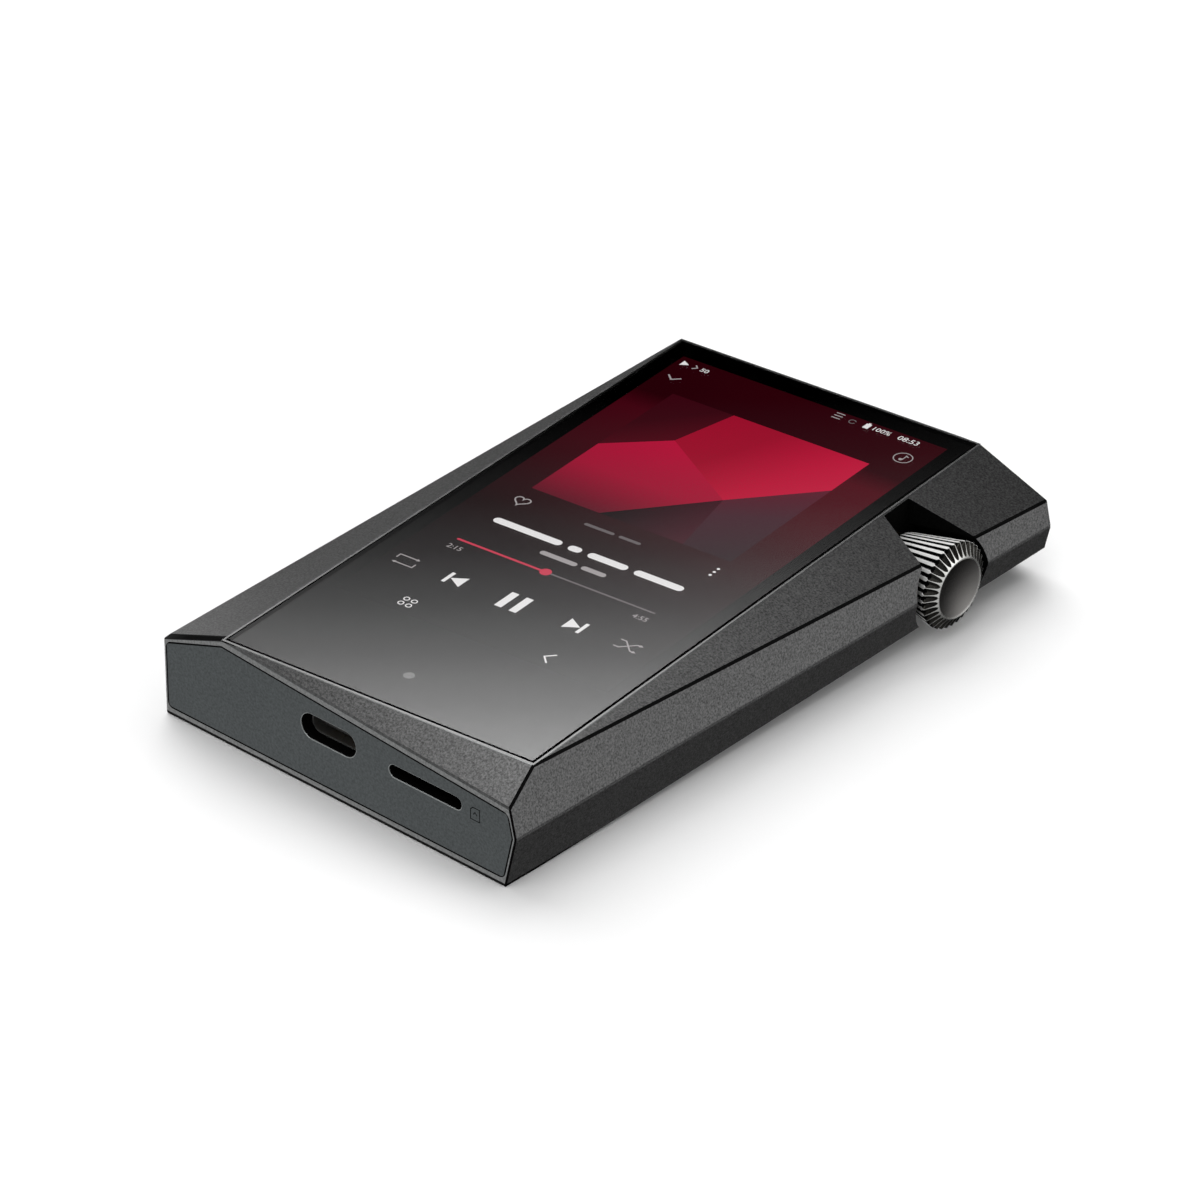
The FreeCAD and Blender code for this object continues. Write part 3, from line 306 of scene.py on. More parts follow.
PLANES = {
    "deck": (mm(0, 0, DECK_Z), Z.copy()),
    "back": (mm(0, 0, 0), -Z),
    "left": (mm(-HALF_W, 0, 0), Vector((-1, 0, 0))),
    "upper_side": (mm(HALF_W, 0, 8), Vector((math.cos(LEAN), 0, math.sin(LEAN)))),
    "lower_side": (mm(HALF_W, 0, 8), Vector((math.cos(LEAN), 0, -math.sin(LEAN)))),
    "bottom_end": (mm(0, -HALF_L, 0), Vector((0, -1, 0))),
    "top_end": (mm(0, HALF_L, 0), Vector((0, 1, 0))),
    "left_facet": (deck_point(-DECK_W / 2, 0, DECK_Z), leaning(-U, 20.7)),
    "right_facet": (deck_point(DECK_W / 2, 0, DECK_Z), leaning(U, 19.5)),
    "bottom_facet": (deck_point(0, -DECK_L / 2, DECK_Z), leaning(-V, 34.0)),
    "top_facet": (deck_point(0, DECK_L / 2, DECK_Z), leaning(V, 34.0)),
}
# The housing's black edges and cut walls are painted shade: black chamfers in place of contact
# shadow and dark reflections, black walls in place of the shade in the cuts.
SHELL, PAINTED_SHADE_EDGE, LIGHT_EDGE, CUT_WALL_SHADE, END_RIM = range(5)  # material indices of the housing
# planes that meet, how far the chamfer is cut back along each, its finish; the black chamfers are
# painted shade
CHAMFERS = [
    ("right_facet", "upper_side", 0.28, 0.28, PAINTED_SHADE_EDGE),
    ("bottom_facet", "upper_side", 0.30, 0.27, PAINTED_SHADE_EDGE),
    ("top_facet", "right_facet", 0.15, 0.15, PAINTED_SHADE_EDGE),
    ("back", "left", 0.24, 0.24, PAINTED_SHADE_EDGE),
    ("lower_side", "back", 0.6, 0.12, PAINTED_SHADE_EDGE),
    ("bottom_end", "back", 0.6, 0.16, PAINTED_SHADE_EDGE),
    ("top_end", "back", 0.6, 0.16, PAINTED_SHADE_EDGE),
    ("left_facet", "left", 0.18, 0.18, PAINTED_SHADE_EDGE),
    ("left_facet", "bottom_end", 1.2, 0.26, PAINTED_SHADE_EDGE),
    ("left_facet", "top_end", 1.2, 0.26, PAINTED_SHADE_EDGE),
    ("deck", "left_facet", 0.06, 0.06, LIGHT_EDGE),
    ("deck", "right_facet", 0.06, 0.06, LIGHT_EDGE),
    ("deck", "bottom_facet", 0.07, 0.07, LIGHT_EDGE),
    ("deck", "top_facet", 0.07, 0.07, LIGHT_EDGE),
]


def on_plane(face, name, slack=2e-5):
    point, normal = PLANES[name]
    away = abs((face.calc_center_median() - point).dot(normal))
    return face.normal.dot(normal) > 0.9999 and away < slack


def face_kind(face):
    """What a face of the CAD housing is painted as; its black faces are painted shade."""
    for end in ("bottom_end", "top_end"):
        if on_plane(face, end):
            return END_RIM
        for other in ("back", "left", "upper_side", "lower_side", "left_facet", "right_facet",
                      "bottom_facet", "top_facet"):
            between = (PLANES[end][1] + PLANES[other][1]).normalized()
            centre = face.calc_center_median()
            if face.normal.angle(between) < math.radians(2.5) and abs(centre.y) > 0.0535:
                # an end's chamfer next to the back or a side is painted black as painted contact
                # shadow and dark reflection
                return PAINTED_SHADE_EDGE if other in ("back", "upper_side", "lower_side") else END_RIM
    # the deck face round the glass is painted black as painted shade in the gap
    if on_plane(face, "deck"):
        return PAINTED_SHADE_EDGE
    if any(on_plane(face, name) for name in PLANES):
        return SHELL
    # faces off every plane are the walls of cuts, painted black as painted shade in the hollows;
    # the far left wall and the ridge stay shell
    x = face.calc_center_median().x
    at_ridge = face.normal.x > 0.999 and x > 0.0318
    return SHELL if x < -0.0312 or at_ridge else CUT_WALL_SHADE


def round_corners(bm, size):
    """Rounds the corners of an end plate's outline, or of the opening that it sits in."""
    corners = []
    for edge in bm.edges:
        ends = [v.co for v in edge.verts]
        across = ends[0] - ends[1]
        if len(edge.link_faces) != 2 or abs(across.y) < 0.0004 or across.xz.length > 1e-6:
            continue
        middle = (ends[0] + ends[1]) / 2
        if abs(middle.y) < 0.053 or edge.calc_face_angle() < math.radians(40):
            continue
        if outline_gap(middle) < 0.0008:
            corners.append(edge)
    bmesh.ops.bevel(bm, geom=corners, offset=size / 1000.0, segments=5, profile=0.5,
                    affect="EDGES", clamp_overlap=True, material=-1)
    bm.normal_update()


def outline_gap(point):
    """How far inside the outline of the ends a point lies, across its nearest side."""
    gaps = [point.z]
    for name, (origin, normal) in PLANES.items():
        if name not in ("back", "deck", "bottom_end", "top_end"):
            in_end = math.hypot(normal.x, normal.z)
            level = Vector((point.x, math.copysign(HALF_L / 1000.0, point.y), point.z))
            gaps.append((origin - level).dot(normal) / in_end)
    return min(gaps)


def make_housing():
    bm = clean_copy("housing")
    round_corners(bm, 0.9)
    for face in bm.faces:
        face.material_index = face_kind(face)
    for cut in CHAMFERS:
        chamfer(bm, *cut)
    return new_piece("housing_shell", bm, [MAT["shell"], MAT["painted_shade_edge"], MAT["light_edge"],
                                           MAT["cut_wall_shade"], MAT["end_rim"]],
                     stands_for=["housing"])


def make_end_panel(node, way):
    """The plate let into an end: black at its gap as painted shade, bright where its openings are
    broken.
    """
    bm = clean_copy(node)
    round_corners(bm, 0.8)
    outer = way * HALF_L / 1000.0
    gap_edges, opening_edges = [], []
    for face in bm.faces:
        outward = face.normal.y * way
        face.material_index = 0 if outward > 0.5 else 1
    for edge in bm.edges:
        if len(edge.link_faces) != 2 or any(abs(v.co.y - outer) > 1e-6 for v in edge.verts):
            continue
        facing = sorted(face.normal.y * way for face in edge.link_faces)
        if facing[0] > 0.5:
            continue
        at_outline = outline_gap((edge.verts[0].co + edge.verts[1].co) / 2) < 0.0016
        (gap_edges if at_outline else opening_edges).append(edge)
    corner_free = dict(segments=2, profile=0.5, affect="EDGES", clamp_overlap=False)
    # the bevel round the plate's outline is painted black, painted shade in the gap
    bmesh.ops.bevel(bm, geom=gap_edges, offset=0.00015, material=1, **corner_free)
    opening_edges = [edge for edge in opening_edges if edge.is_valid]
    bmesh.ops.bevel(bm, geom=opening_edges, offset=0.0001, material=2, **corner_free)
    return new_piece(node + "_plate", bm, [MAT["cap"], MAT["gap_shade_black"], MAT["cap_edge"]],
                     stands_for=[node])


def make_card_mark():
    """The outline of a memory card cut into the end plate beside its slot."""
    left, right, low, high, cut = 24.15, 25.75, 7.95, 9.8, 0.4
    outline = [(left, low), (right, low), (right, high), (left + cut, high), (left, high - cut)]
    strips = ribbon(outline, 0.14, True)
    strips += ribbon([(24.6, 8.75), (24.95, 9.15), (25.3, 8.75)], 0.14)
    bm = bmesh.new()
    for loop in strips:
        front = [bm.verts.new(mm(x, -HALF_L - 0.001, z)) for x, z in loop]
        rear = [bm.verts.new(mm(x, -HALF_L + 0.01, z)) for x, z in loop]
        bm.faces.new(front)
        bm.faces.new(list(reversed(rear)))
        for i in range(4):
            j = (i + 1) % 4
            bm.faces.new((front[i], rear[i], rear[j], front[j]))
    bmesh.ops.recalc_face_normals(bm, faces=bm.faces)
    return new_piece("card_mark", bm, [MAT["mark"]])


# ---- knob ----------------------------------------------------------------------------------

TEETH = 36
# The teeth are lit and shaded copies of one turned metal: lands and ridges are polished metal made
# near white as painted highlight, flanks dark and grooves black as painted shade.
LAND, GROOVE, FLANK, RIDGE = range(4)  # material indices of the barrel
BARREL_ROWS, CROWN_ROWS = 3, 9  # rows of faces on the long cone, and up to the bright rim
# x, radius of the lands, depth of the grooves, share of the pitch that is land
KNOB_STATIONS = [
    (22.7, 4.30, 0.34, 0.50), (23.0, 4.42, 0.36, 0.50), (31.70, 6.36, 0.52, 0.50),
    (31.98, 6.42, 0.60, 0.16), (32.08, 6.41, 0.62, 0.08), (32.30, 6.02, 0.56, 0.09),
    (32.55, 5.58, 0.46, 0.13), (32.78, 5.18, 0.34, 0.20), (32.98, 4.84, 0.18, 0.36),
    (33.10, 4.64, 0.05, 0.70), (33.15, 4.56, 0.0, 0.92), (33.18, 4.51, 0.0, 0.92),
    (33.20, 4.45, 0.0, 0.92), (33.17, 4.40, 0.0, 0.92), (32.4, 4.38, 0.0, 0.92),
]
LAND_ROUND = 0.035


def knob_point(x, radius, angle):
    return mm(x, KNOB_Y + radius * math.cos(angle), KNOB_Z + radius * math.sin(angle))


def tooth_profile(depth, land):
    """Points over one pitch, from the middle of a land: (share of the pitch, how deep)."""
    half = land / 2
    edge = min(LAND_ROUND, half * 0.4)
    return [(0.0, 0.0), (half - edge, 0.0), (half, depth * 0.05), (0.48, depth), (0.52, depth),
            (1 - half, depth * 0.05), (1 - half + edge, 0.0)]


def make_knob():
    bm = bmesh.new()
    rings = []
    for x, radius, depth, land in KNOB_STATIONS:
        profile = tooth_profile(depth, land)
        rings.append([
            bm.verts.new(knob_point(x, radius - deep, (tooth + share) * math.tau / TEETH))
            for tooth in range(TEETH) for share, deep in profile])
    count = len(rings[0])
    steps = count // TEETH
    for row, (low, high) in enumerate(zip(rings, rings[1:])):
        for i in range(count):
            j = (i + 1) % count
            face = bm.faces.new((low[i], low[j], high[j], high[i]))
            on_barrel = row < BARREL_ROWS
            # groove and flank faces take the painted shade, the others the painted highlight
            if row < CROWN_ROWS and i % steps in (2, 3, 4):
                face.material_index = GROOVE if on_barrel else FLANK
            else:
                face.material_index = RIDGE if on_barrel else LAND
            face.smooth = row >= CROWN_ROWS
    inner = [bm.verts.new(knob_point(22.7, 3.4, i * math.tau / count)) for i in range(count)]
    back = [bm.verts.new(knob_point(23.5, 3.4, i * math.tau / count)) for i in range(count)]
    for i in range(count):
        j = (i + 1) % count
        # the inner and back faces are painted black as painted shade
        bm.faces.new((inner[i], inner[j], rings[0][j], rings[0][i])).material_index = GROOVE
        bm.faces.new((back[i], back[j], inner[j], inner[i])).material_index = GROOVE
    bm.faces.new(list(reversed(back))).material_index = GROOVE
    bm.faces.new(rings[-1])
    bmesh.ops.recalc_face_normals(bm, faces=bm.faces)
    return new_piece("knob_barrel", bm, [MAT["knob_land_highlight"], MAT["knob_groove_shade"], MAT["knob_flank_shade"],
                                         MAT["knob_ridge_highlight"]],
                     "knob", ["volume_knob"])


def lathe(name, profile, segments, materials, body, stands_for, index):
    """Turns a profile of (x, radius) round the knob's axis, on which both its ends lie."""
    bm = bmesh.new()
    rings = []
    for x, radius in profile:
        if radius == 0:
            rings.append([bm.verts.new(knob_point(x, 0, 0))])
        else:
            rings.append([bm.verts.new(knob_point(x, radius, i * math.tau / segments))
                          for i in range(segments)])
    for row, (low, high) in enumerate(zip(rings, rings[1:])):
        for i in range(segments):
            j = (i + 1) % segments
            corners = [low[i % len(low)], low[j % len(low)],
                       high[j % len(high)], high[i % len(high)]]
            face = bm.faces.new(list(dict.fromkeys(corners)))
            face.material_index = index(row)
            face.smooth = True
    bmesh.ops.recalc_face_normals(bm, faces=bm.faces)
    return new_piece(name, bm, materials, body, stands_for)


def make_knob_cap():
    """A polished dished disc with a fine bright rim."""
    rows, radius, sag = 18, 4.27, 0.62
    dish = [(33.15 - sag * (1 - (i / rows) ** 2), radius * i / rows) for i in range(rows + 1)]
    profile = dish + [(33.17, 4.30), (33.17, 4.34), (33.08, 4.36), (32.2, 4.36), (32.2, 0)]
    return lathe("knob_dish", profile, 96, [MAT["dish"], MAT["dish_rim"]], "knob",
                 ["knob_cap"], lambda row: 0 if row < rows else 1)


# ---- glass and screen ----------------------------------------------------------------------


def extruded(loops, low, high):
    """A bmesh of flat shapes on the deck, each given as (u, v) corners, with a thickness."""
    bm = bmesh.new()
    for loop in loops:
        bottom = [bm.verts.new(deck_point(u, v, low)) for u, v in loop]
        top = [bm.verts.new(deck_point(u, v, high)) for u, v in loop]
        count = len(loop)
        bm.faces.new(list(reversed(bottom)))
        bm.faces.new(top)
        for i in range(count):
            j = (i + 1) % count
            bm.faces.new((bottom[i], bottom[j], top[j], top[i]))
    bmesh.ops.recalc_face_normals(bm, faces=bm.faces)
    return bm


def rectangle(left, right, low, high):
    return [(left, low), (right, low), (right, high), (left, high)]


def make_glass():
    """The cover glass with a finely rounded edge, and the black print under it."""
    u, v = DECK_W / 2 - RIM - 0.1, DECK_L / 2 - RIM - 0.1
    bm = extruded([rectangle(-u, u, -v, v)], GLASS_LOW, GLASS_TOP)
    for face in bm.faces:
        face.material_index = 0 if abs(face.normal.z) > 0.5 else 1
    brim = [edge for edge in bm.edges if all(v.co.z * 1000 > GLASS_TOP - 0.01 for v in edge.verts)]
    bmesh.ops.bevel(bm, geom=brim, offset=0.0001, segments=2, profile=0.5, affect="EDGES",
                    material=1)
    glass = new_piece("cover_glass", bm, [MAT["glass"], MAT["glass_edge"]],
                      stands_for=["front_glass"])
    left, right, low, high = SCREEN
    u, v = u - 0.02, v - 0.02
    sides = [rectangle(-u, u, -v, low), rectangle(-u, u, high, v), rectangle(-u, left, low, high),
             rectangle(right, u, low, high)]
    new_piece("glass_print", extruded(sides, PRINT_LOW, PRINT_TOP), [MAT["ink"]])
    return glass


def make_deck_rim():
    """The bright turned line on the deck round the glass."""
    outer_u, outer_v = DECK_W / 2 - 0.06, DECK_L / 2 - 0.07
    inner_u, inner_v = outer_u - 0.3, outer_v - 0.35
    outer, inner = (rectangle(-u, u, -v, v) for u, v in ((outer_u, outer_v), (inner_u, inner_v)))
    loops = [[outer[i], outer[(i + 1) % 4], inner[(i + 1) % 4], inner[i]] for i in range(4)]
    return new_piece("deck_rim_line", extruded(loops, DECK_Z - 0.004, DECK_Z + 0.006),
                     [MAT["rim_line"]])


# ---- what the screen shows -----------------------------------------------------------------


def disc(u, v, radius, count=40):
    angles = [i * math.tau / count for i in range(count)]
    return [(u + radius * math.cos(a), v + radius * math.sin(a)) for a in angles]


def ribbon(points, width, closed=False):
    """The quads of a line of even width through points, mitred where it turns."""
    count = len(points)
    sides = []
    for i, (u, v) in enumerate(points):
        before = points[i - 1] if closed or i else points[i]
        after = points[(i + 1) % count] if closed or i < count - 1 else points[i]
        d1 = Vector((u - before[0], v - before[1]))
        d2 = Vector((after[0] - u, after[1] - v))
        d1 = (d1 if d1.length else d2).normalized()
        d2 = (d2 if d2.length else d1).normalized()
        across = (Vector((-d1.y, d1.x)) + Vector((-d2.y, d2.x))).normalized()
        reach = width / 2 / max(0.35, across.dot(Vector((-d1.y, d1.x))))
        sides.append(((u + across.x * reach, v + across.y * reach),
                      (u - across.x * reach, v - across.y * reach)))
    last = count if closed else count - 1
    return [[sides[i][0], sides[i][1], sides[(i + 1) % count][1], sides[(i + 1) % count][0]]
            for i in range(last)]


def arc(u, v, radius, start, end, count=16):
    step = math.radians(end - start) / count
    return [(u + radius * math.cos(math.radians(start) + i * step),
             v + radius * math.sin(math.radians(start) + i * step)) for i in range(count + 1)]


def pill(left, right, v, high):
    """A bar with round ends."""
    r = high / 2
    return arc(right - r, v, r, -90, 90, 10) + arc(left + r, v, r, 90, 270, 10)


def shifted(points, u, v):
    return [(u + x, v + y) for x, y in points]


def heart(u, v, size):
    points = []
    for i in range(36):
        a = i * math.tau / 36
        x = 16 * math.sin(a) ** 3
        y = 13 * math.cos(a) - 5 * math.cos(2 * a) - 2 * math.cos(3 * a) - math.cos(4 * a)
        points.append((u + x * size / 32, v + y * size / 32))
    return points


def digits(name, text, u, v, height, material):
    """Numbers as a solid, from Blender's own font."""
    curve = bpy.data.curves.new(name, "FONT")
    curve.body = text
    curve.size = height / 1000.0 * 1.38
    curve.align_x = "LEFT"
    curve.extrude = 0.000006
    curve.resolution_u = 4
    helper = bpy.data.objects.new(name, curve)
    bpy.context.scene.collection.objects.link(helper)
    place = deck_point(u + UNDER_GLASS[0], v + UNDER_GLASS[1] - height / 2, UI_Z + 0.006)
    helper.matrix_world = Matrix.Translation(place) @ Matrix.Rotation(TILT, 4, "Z")
    bpy.context.view_layer.update()
    mesh = bpy.data.meshes.new_from_object(helper.evaluated_get(
        bpy.context.evaluated_depsgraph_get()))
    mesh.transform(helper.matrix_world)
    bpy.data.objects.remove(helper)
    mesh.materials.clear()
    return new_piece(name, mesh, [material])


def shapes(name, loops, material, lift=0.0):
    moved = [[(u + UNDER_GLASS[0], v + UNDER_GLASS[1]) for u, v in loop] for loop in loops]
    return new_piece(name, extruded(moved, UI_Z + lift, UI_Z + lift + 0.012), [material])


KEY_ROW = -21.2  # v of the row of transport icons


def make_screen():
    soft, white, dim = MAT["ui_soft"], MAT["ui_white"], MAT["ui_dim"]
    # cover picture: plain folded planes
    left, right, low, high = -17.0, 16.4, 4.6, 37.75
    fold, turn = (-6.5, high), (6.0, 17.5)
    planes = {
        "art_dusk": [(left, high), (left, 20.0), (-9.0, 27.0), fold],
        "art_flame": [fold, (-9.0, 27.0), turn, (right, 28.5), (right, high)],
        "art_ember": [(left, 20.0), (left, low), (-5.5, low), turn, (-9.0, 27.0)],
        "art_coal": [(-5.5, low), (8.5, low), turn],
        "art_ash": [turn, (8.5, low), (right, low), (right, 28.5)],
    }
    for name, loop in planes.items():
        shapes(name, [loop], MAT[name])
    # bars in place of words
    shapes("title_bars", [pill(-16.0, -4.6, -5.2, 1.35), pill(-3.4, -1.3, -5.2, 1.35),
                          pill(-0.1, 6.4, -5.2, 1.35), pill(7.6, 15.6, -5.2, 1.35)], white)
    shapes("artist_bars", [pill(-5.7, 0.4, -8.5, 0.95), pill(1.2, 5.2, -8.5, 0.95)], soft)
    shapes("format_bars", [pill(-5.4, -0.4, 1.1, 0.6), pill(0.4, 4.0, 1.1, 0.6)], dim)
    # transport
    shapes("progress_rest", [pill(-16.8, 16.2, -12.4, 0.32)], dim)
    shapes("progress_done", [pill(-16.8, -1.9, -12.4, 0.42), disc(-1.9, -12.4, 0.85)],
           MAT["ui_red"], 0.013)
    v = KEY_ROW
    shapes("pause_icon", [rectangle(-2.3, -1.15, v - 2.1, v + 2.0),
                          rectangle(0.1, 1.25, v - 2.1, v + 2.0)], white)
    for name, u, way in (("previous_icon", -10.4, -1), ("next_icon", 9.6, 1)):
        arrow, bar = [(-1.45, -1.3), (0.75, 0.0), (-1.45, 1.3)], rectangle(0.85, 1.4, -1.35, 1.35)
        shapes(name, [[(u + way * x, v + y) for x, y in loop] for loop in (arrow, bar)], white)
    make_small_icons(soft, white, dim)


def make_small_icons(soft, white, dim):
    v = KEY_ROW
    thin = 0.2
    u = -18.7
    repeat = ribbon([(u - 1.7, v + 0.1), (u - 1.7, v + 1.0), (u + 1.2, v + 1.0)], thin)
    repeat += ribbon([(u + 1.7, v - 0.1), (u + 1.7, v - 1.0), (u - 1.2, v - 1.0)], thin)
    repeat += [[(u + 1.1, v + 0.7), (u + 1.65, v + 1.0), (u + 1.1, v + 1.3)],
               [(u - 1.1, v - 0.7), (u - 1.65, v - 1.0), (u - 1.1, v - 1.3)]]
    shapes("repeat_icon", repeat, soft)
    u = 18.2
    wave = [(-1.8, 0.9), (-0.9, 0.9), (0.0, 0.0), (0.9, -0.9), (1.4, -0.9)]
    mirrored = [(x, -y) for x, y in wave]
    shuffle = ribbon(shifted(wave, u, v), thin) + ribbon(shifted(mirrored, u, v), thin)
    shuffle += [[(u + 1.25, v + s - 0.3), (u + 1.85, v + s), (u + 1.25, v + s + 0.3)]
                for s in (0.9, -0.9)]
    shapes("shuffle_icon", shuffle, soft)
    shapes("heart_icon", ribbon(heart(-15.9, 0.9, 2.4), 0.22, True), soft)
    shapes("menu_dots", [disc(16.2, 1.1 + s, 0.24, 16) for s in (-0.95, 0.0, 0.95)], white)
    shapes("grid_icon", [q for s in (-0.64, 0.64) for w in (-0.64, 0.64)
                         for q in ribbon(disc(-11.9 + s, -29.6 + w, 0.4, 20), 0.16, True)],
           white)
    shapes("back_icon", ribbon([(12.1, -28.6), (10.9, -29.8), (12.1, -31.0)], 0.24), white)
    # status line
    shapes("play_mark", [[(-21.3, 45.2), (-20.1, 45.9), (-21.3, 46.6)]], white)
    shapes("volume_mark", ribbon([(-19.2, 45.3), (-18.6, 45.9), (-19.2, 46.5)], 0.2), soft)
    digits("volume_number", "50", -18.0, 45.9, 1.0, white)
    shapes("down_icon", ribbon([(-20.8, 42.0), (-19.7, 41.0), (-18.6, 42.0)], 0.26), soft)
    shapes("output_mark", [quad for level in (45.7, 46.4, 47.1)
                           for quad in ribbon([(4.6, level), (6.0, level)], 0.2)], soft)
    shapes("link_mark", ribbon(arc(7.8, 46.2, 0.5, 20, 340), 0.16), dim)
    shapes("battery_mark", [rectangle(9.75, 10.6, 45.7, 47.0),
                            rectangle(9.98, 10.38, 47.0, 47.25)], white)
    digits("battery_number", "100%", 11.0, 46.4, 1.05, white)
    digits("clock", "08:53", 15.4, 46.4, 1.15, white)
    note = ribbon(disc(19.2, 41.9, 1.35, 40), 0.16, True)
    note += ribbon([(19.35, 41.4), (19.35, 42.6), (19.8, 42.35)], 0.18)
    note.append(disc(19.1, 41.4, 0.3, 16))
    shapes("source_icon", note, soft)
    digits("time_played", "2:15", -16.9, -14.4, 1.05, soft)
    digits("time_total", "4:55", 14.0, -14.4, 1.05, soft)
    # the touch point printed on the glass, given a faint grey glow of its own: painted light
    home = extruded([disc(-0.3 + UNDER_GLASS[0], -44.2 + UNDER_GLASS[1], 0.8)],
                    PRINT_TOP + 0.001, PRINT_TOP + 0.007)
    new_piece("home_mark", home, [MAT["home"]])


def screen_glow():
    """The screen's background: dark red fading to black along the screen."""
    p = Paint("screen_glow", base_color=(0.0, 0.0, 0.0, 1.0), specular_ior_level=0.0,
              emission_strength=1.0)
    turned = p.stretch((1.0, 1.0, 1.0), (0.0, 0.0, -TILT))
    axes = p.node("ShaderNodeSeparateXYZ", Vector=turned)
    down = p.grey(axes.outputs["Y"], 0.0, 1.0, 0.048, -0.0317)
    stops = [(0.0, "30020b"), (0.14, "2e020b"), (0.2, "4d0616"), (0.35, "450a17"), (0.5, "330a13"),
             (0.62, "1e0509"), (0.75, "100306"), (0.9, "060203"), (1.0, "020202")]
    glow = p.ramp(down, *[(s, srgb(c)) for s, c in stops])
    side = p.grey(axes.outputs["X"], 0.8, 1.2, -0.0225, 0.0225)
    drift = p.noise(60.0, 2.0)
    tone = p.node("ShaderNodeMath")
    tone.operation = "MULTIPLY"
    p.put(tone.inputs[0], side)
    p.put(tone.inputs[1], p.grey(drift, 0.94, 1.06))
    return p.wire(emission_color=p.times(glow, tone.outputs[0]))


# ---- the rest of the player ----------------------------------------------------------------


def glass_material():
    p = Paint("cover_glass", base_color=(1.0, 1.0, 1.0, 1.0), transmission_weight=1.0, ior=1.5,
              roughness=0.0)
    smear = p.noise(60.0, 2.0, 0.5)
    return p.wire(base_color=p.mix(smear, (0.985, 0.985, 0.985, 1), (1.0, 1.0, 1.0, 1)))


def make_materials():
    shell = srgb("6a6a6a")
    flame = [(0.0, srgb("a50e2e")), (0.35, srgb("c4153c")), (0.7, srgb("d01f46")),
             (1.0, srgb("a81838"))]
    ember = [(0.0, srgb("c4133e")), (0.55, srgb("a81437")), (1.0, srgb("4a1020"))]
    dusk = [(0.0, srgb("3c0713")), (1.0, srgb("6d0a20"))]
    coal = [(0.0, srgb("120a0d")), (1.0, srgb("4a1626"))]
    ash = [(0.0, srgb("6e1c31")), (0.5, srgb("4a2632")), (1.0, srgb("2c1b22"))]
    return {
        "shell": blasted("shell_anodise", shell, grain=3500.0, contrast=0.5),
        "end_rim": blasted("end_rim", srgb("7b7c7c"), 0.4, 2600.0, 0.000003, 0.3),
        "cap": blasted("cap_anodise", srgb("4f5354"), 0.42, 2600.0, 0.000003, 0.26),
        "cap_edge": polished("cap_edge", srgb("b0b4b4"), 0.36, 0.6),
        # the black of the end plate's gap, the cut walls and the housing's dark edges is painted
        # shade
        "gap_shade_black": black_shade_and_mark("gap_shade_black"),
        "cut_wall_shade": black_shade_and_mark("cut_wall_shade", 0.6, 0.0),
        "painted_shade_edge": black_shade_and_mark("painted_shade_edge"),
        "light_edge": polished("light_edge", srgb("9a9c9c"), 0.34),
        "rim_line": polished("deck_rim_line", srgb("868686"), 0.22),
        "glass_edge": black_shade_and_mark("glass_edge", 0.2),
        "mark": black_shade_and_mark("card_mark", 0.5),
        # the knob's lit and shaded copies of one metal: painted highlight on ridges and lands,
        # painted shade on flanks and grooves
        "knob_ridge_highlight": polished("knob_ridge_highlight", srgb("f2f2f0"), 0.3, 0.35),
        "knob_land_highlight": polished("knob_land_highlight", srgb("d4d4d1"), 0.26),
        "knob_flank_shade": polished("knob_flank_shade", srgb("3a3936"), 0.24),
        "knob_groove_shade": black_shade_and_mark("knob_groove_shade", 0.35),
        "dish": polished("knob_dish", srgb("7a7876"), 0.2),
        "dish_rim": polished("knob_dish_rim", srgb("b8b8b6"), 0.22),
        "glass": glass_material(),
        "ink": moulded("glass_print", (0.0006, 0.0006, 0.0006, 1), 0.8, shine=0.0),
        "glow": screen_glow(),
        "ui_white": lit("ui_white", srgb("f2f0f0")),
        "ui_soft": lit("ui_soft", srgb("a9a3a4")),
        "ui_dim": lit("ui_dim", srgb("6d6668")),
        "ui_red": lit("ui_red", srgb("cf3550")),
        # the printed touch point glows: painted light
        "home": lit("home_mark", srgb("6c6c6c")),
        "art_flame": lit("art_flame", *flame, turn=-20.0, start=-12.0, end=16.0),
        "art_ember": lit("art_ember", *ember, turn=-90.0, start=-30.0, end=-3.0),
        "art_dusk": lit("art_dusk", *dusk, turn=-40.0, start=-32.0, end=-14.0),
        "art_coal": lit("art_coal", *coal, turn=0.0, start=-6.0, end=9.0),
        "art_ash": lit("art_ash", *ash, turn=-60.0, start=-22.0, end=4.0),
        "button": blasted("button_anodise", srgb("747677"), 0.34, 3600.0, 0.000002, 0.12),
        "back": moulded("back_panel", srgb("232426"), 0.28),
        "steel": polished("connector_steel", srgb("b9b9b6"), 0.28, 0.9),
        "sheet": polished("stamped_sheet", srgb("8f8f8f"), 0.35),
        "gold": polished("gold_contacts", srgb("e0b566"), 0.25, 0.5),
        "brass": polished("blackened_brass", srgb("2a241c"), 0.4),
        "ring": polished("jack_ring", srgb("8c8a86"), 0.2),
        "black": moulded("black_moulding", (0.012, 0.012, 0.012, 1), 0.45),
        "foam": moulded("black_foam", (0.008, 0.008, 0.008, 1), 0.9, 4000.0, 0.00001),
        "flex": moulded("amber_flex", srgb("8a4a16"), 0.35),
        "board": moulded("circuit_board", srgb("0f3a22"), 0.4),
        "pouch": blasted("battery_pouch", srgb("55565a"), 0.5, 2500.0),
    }


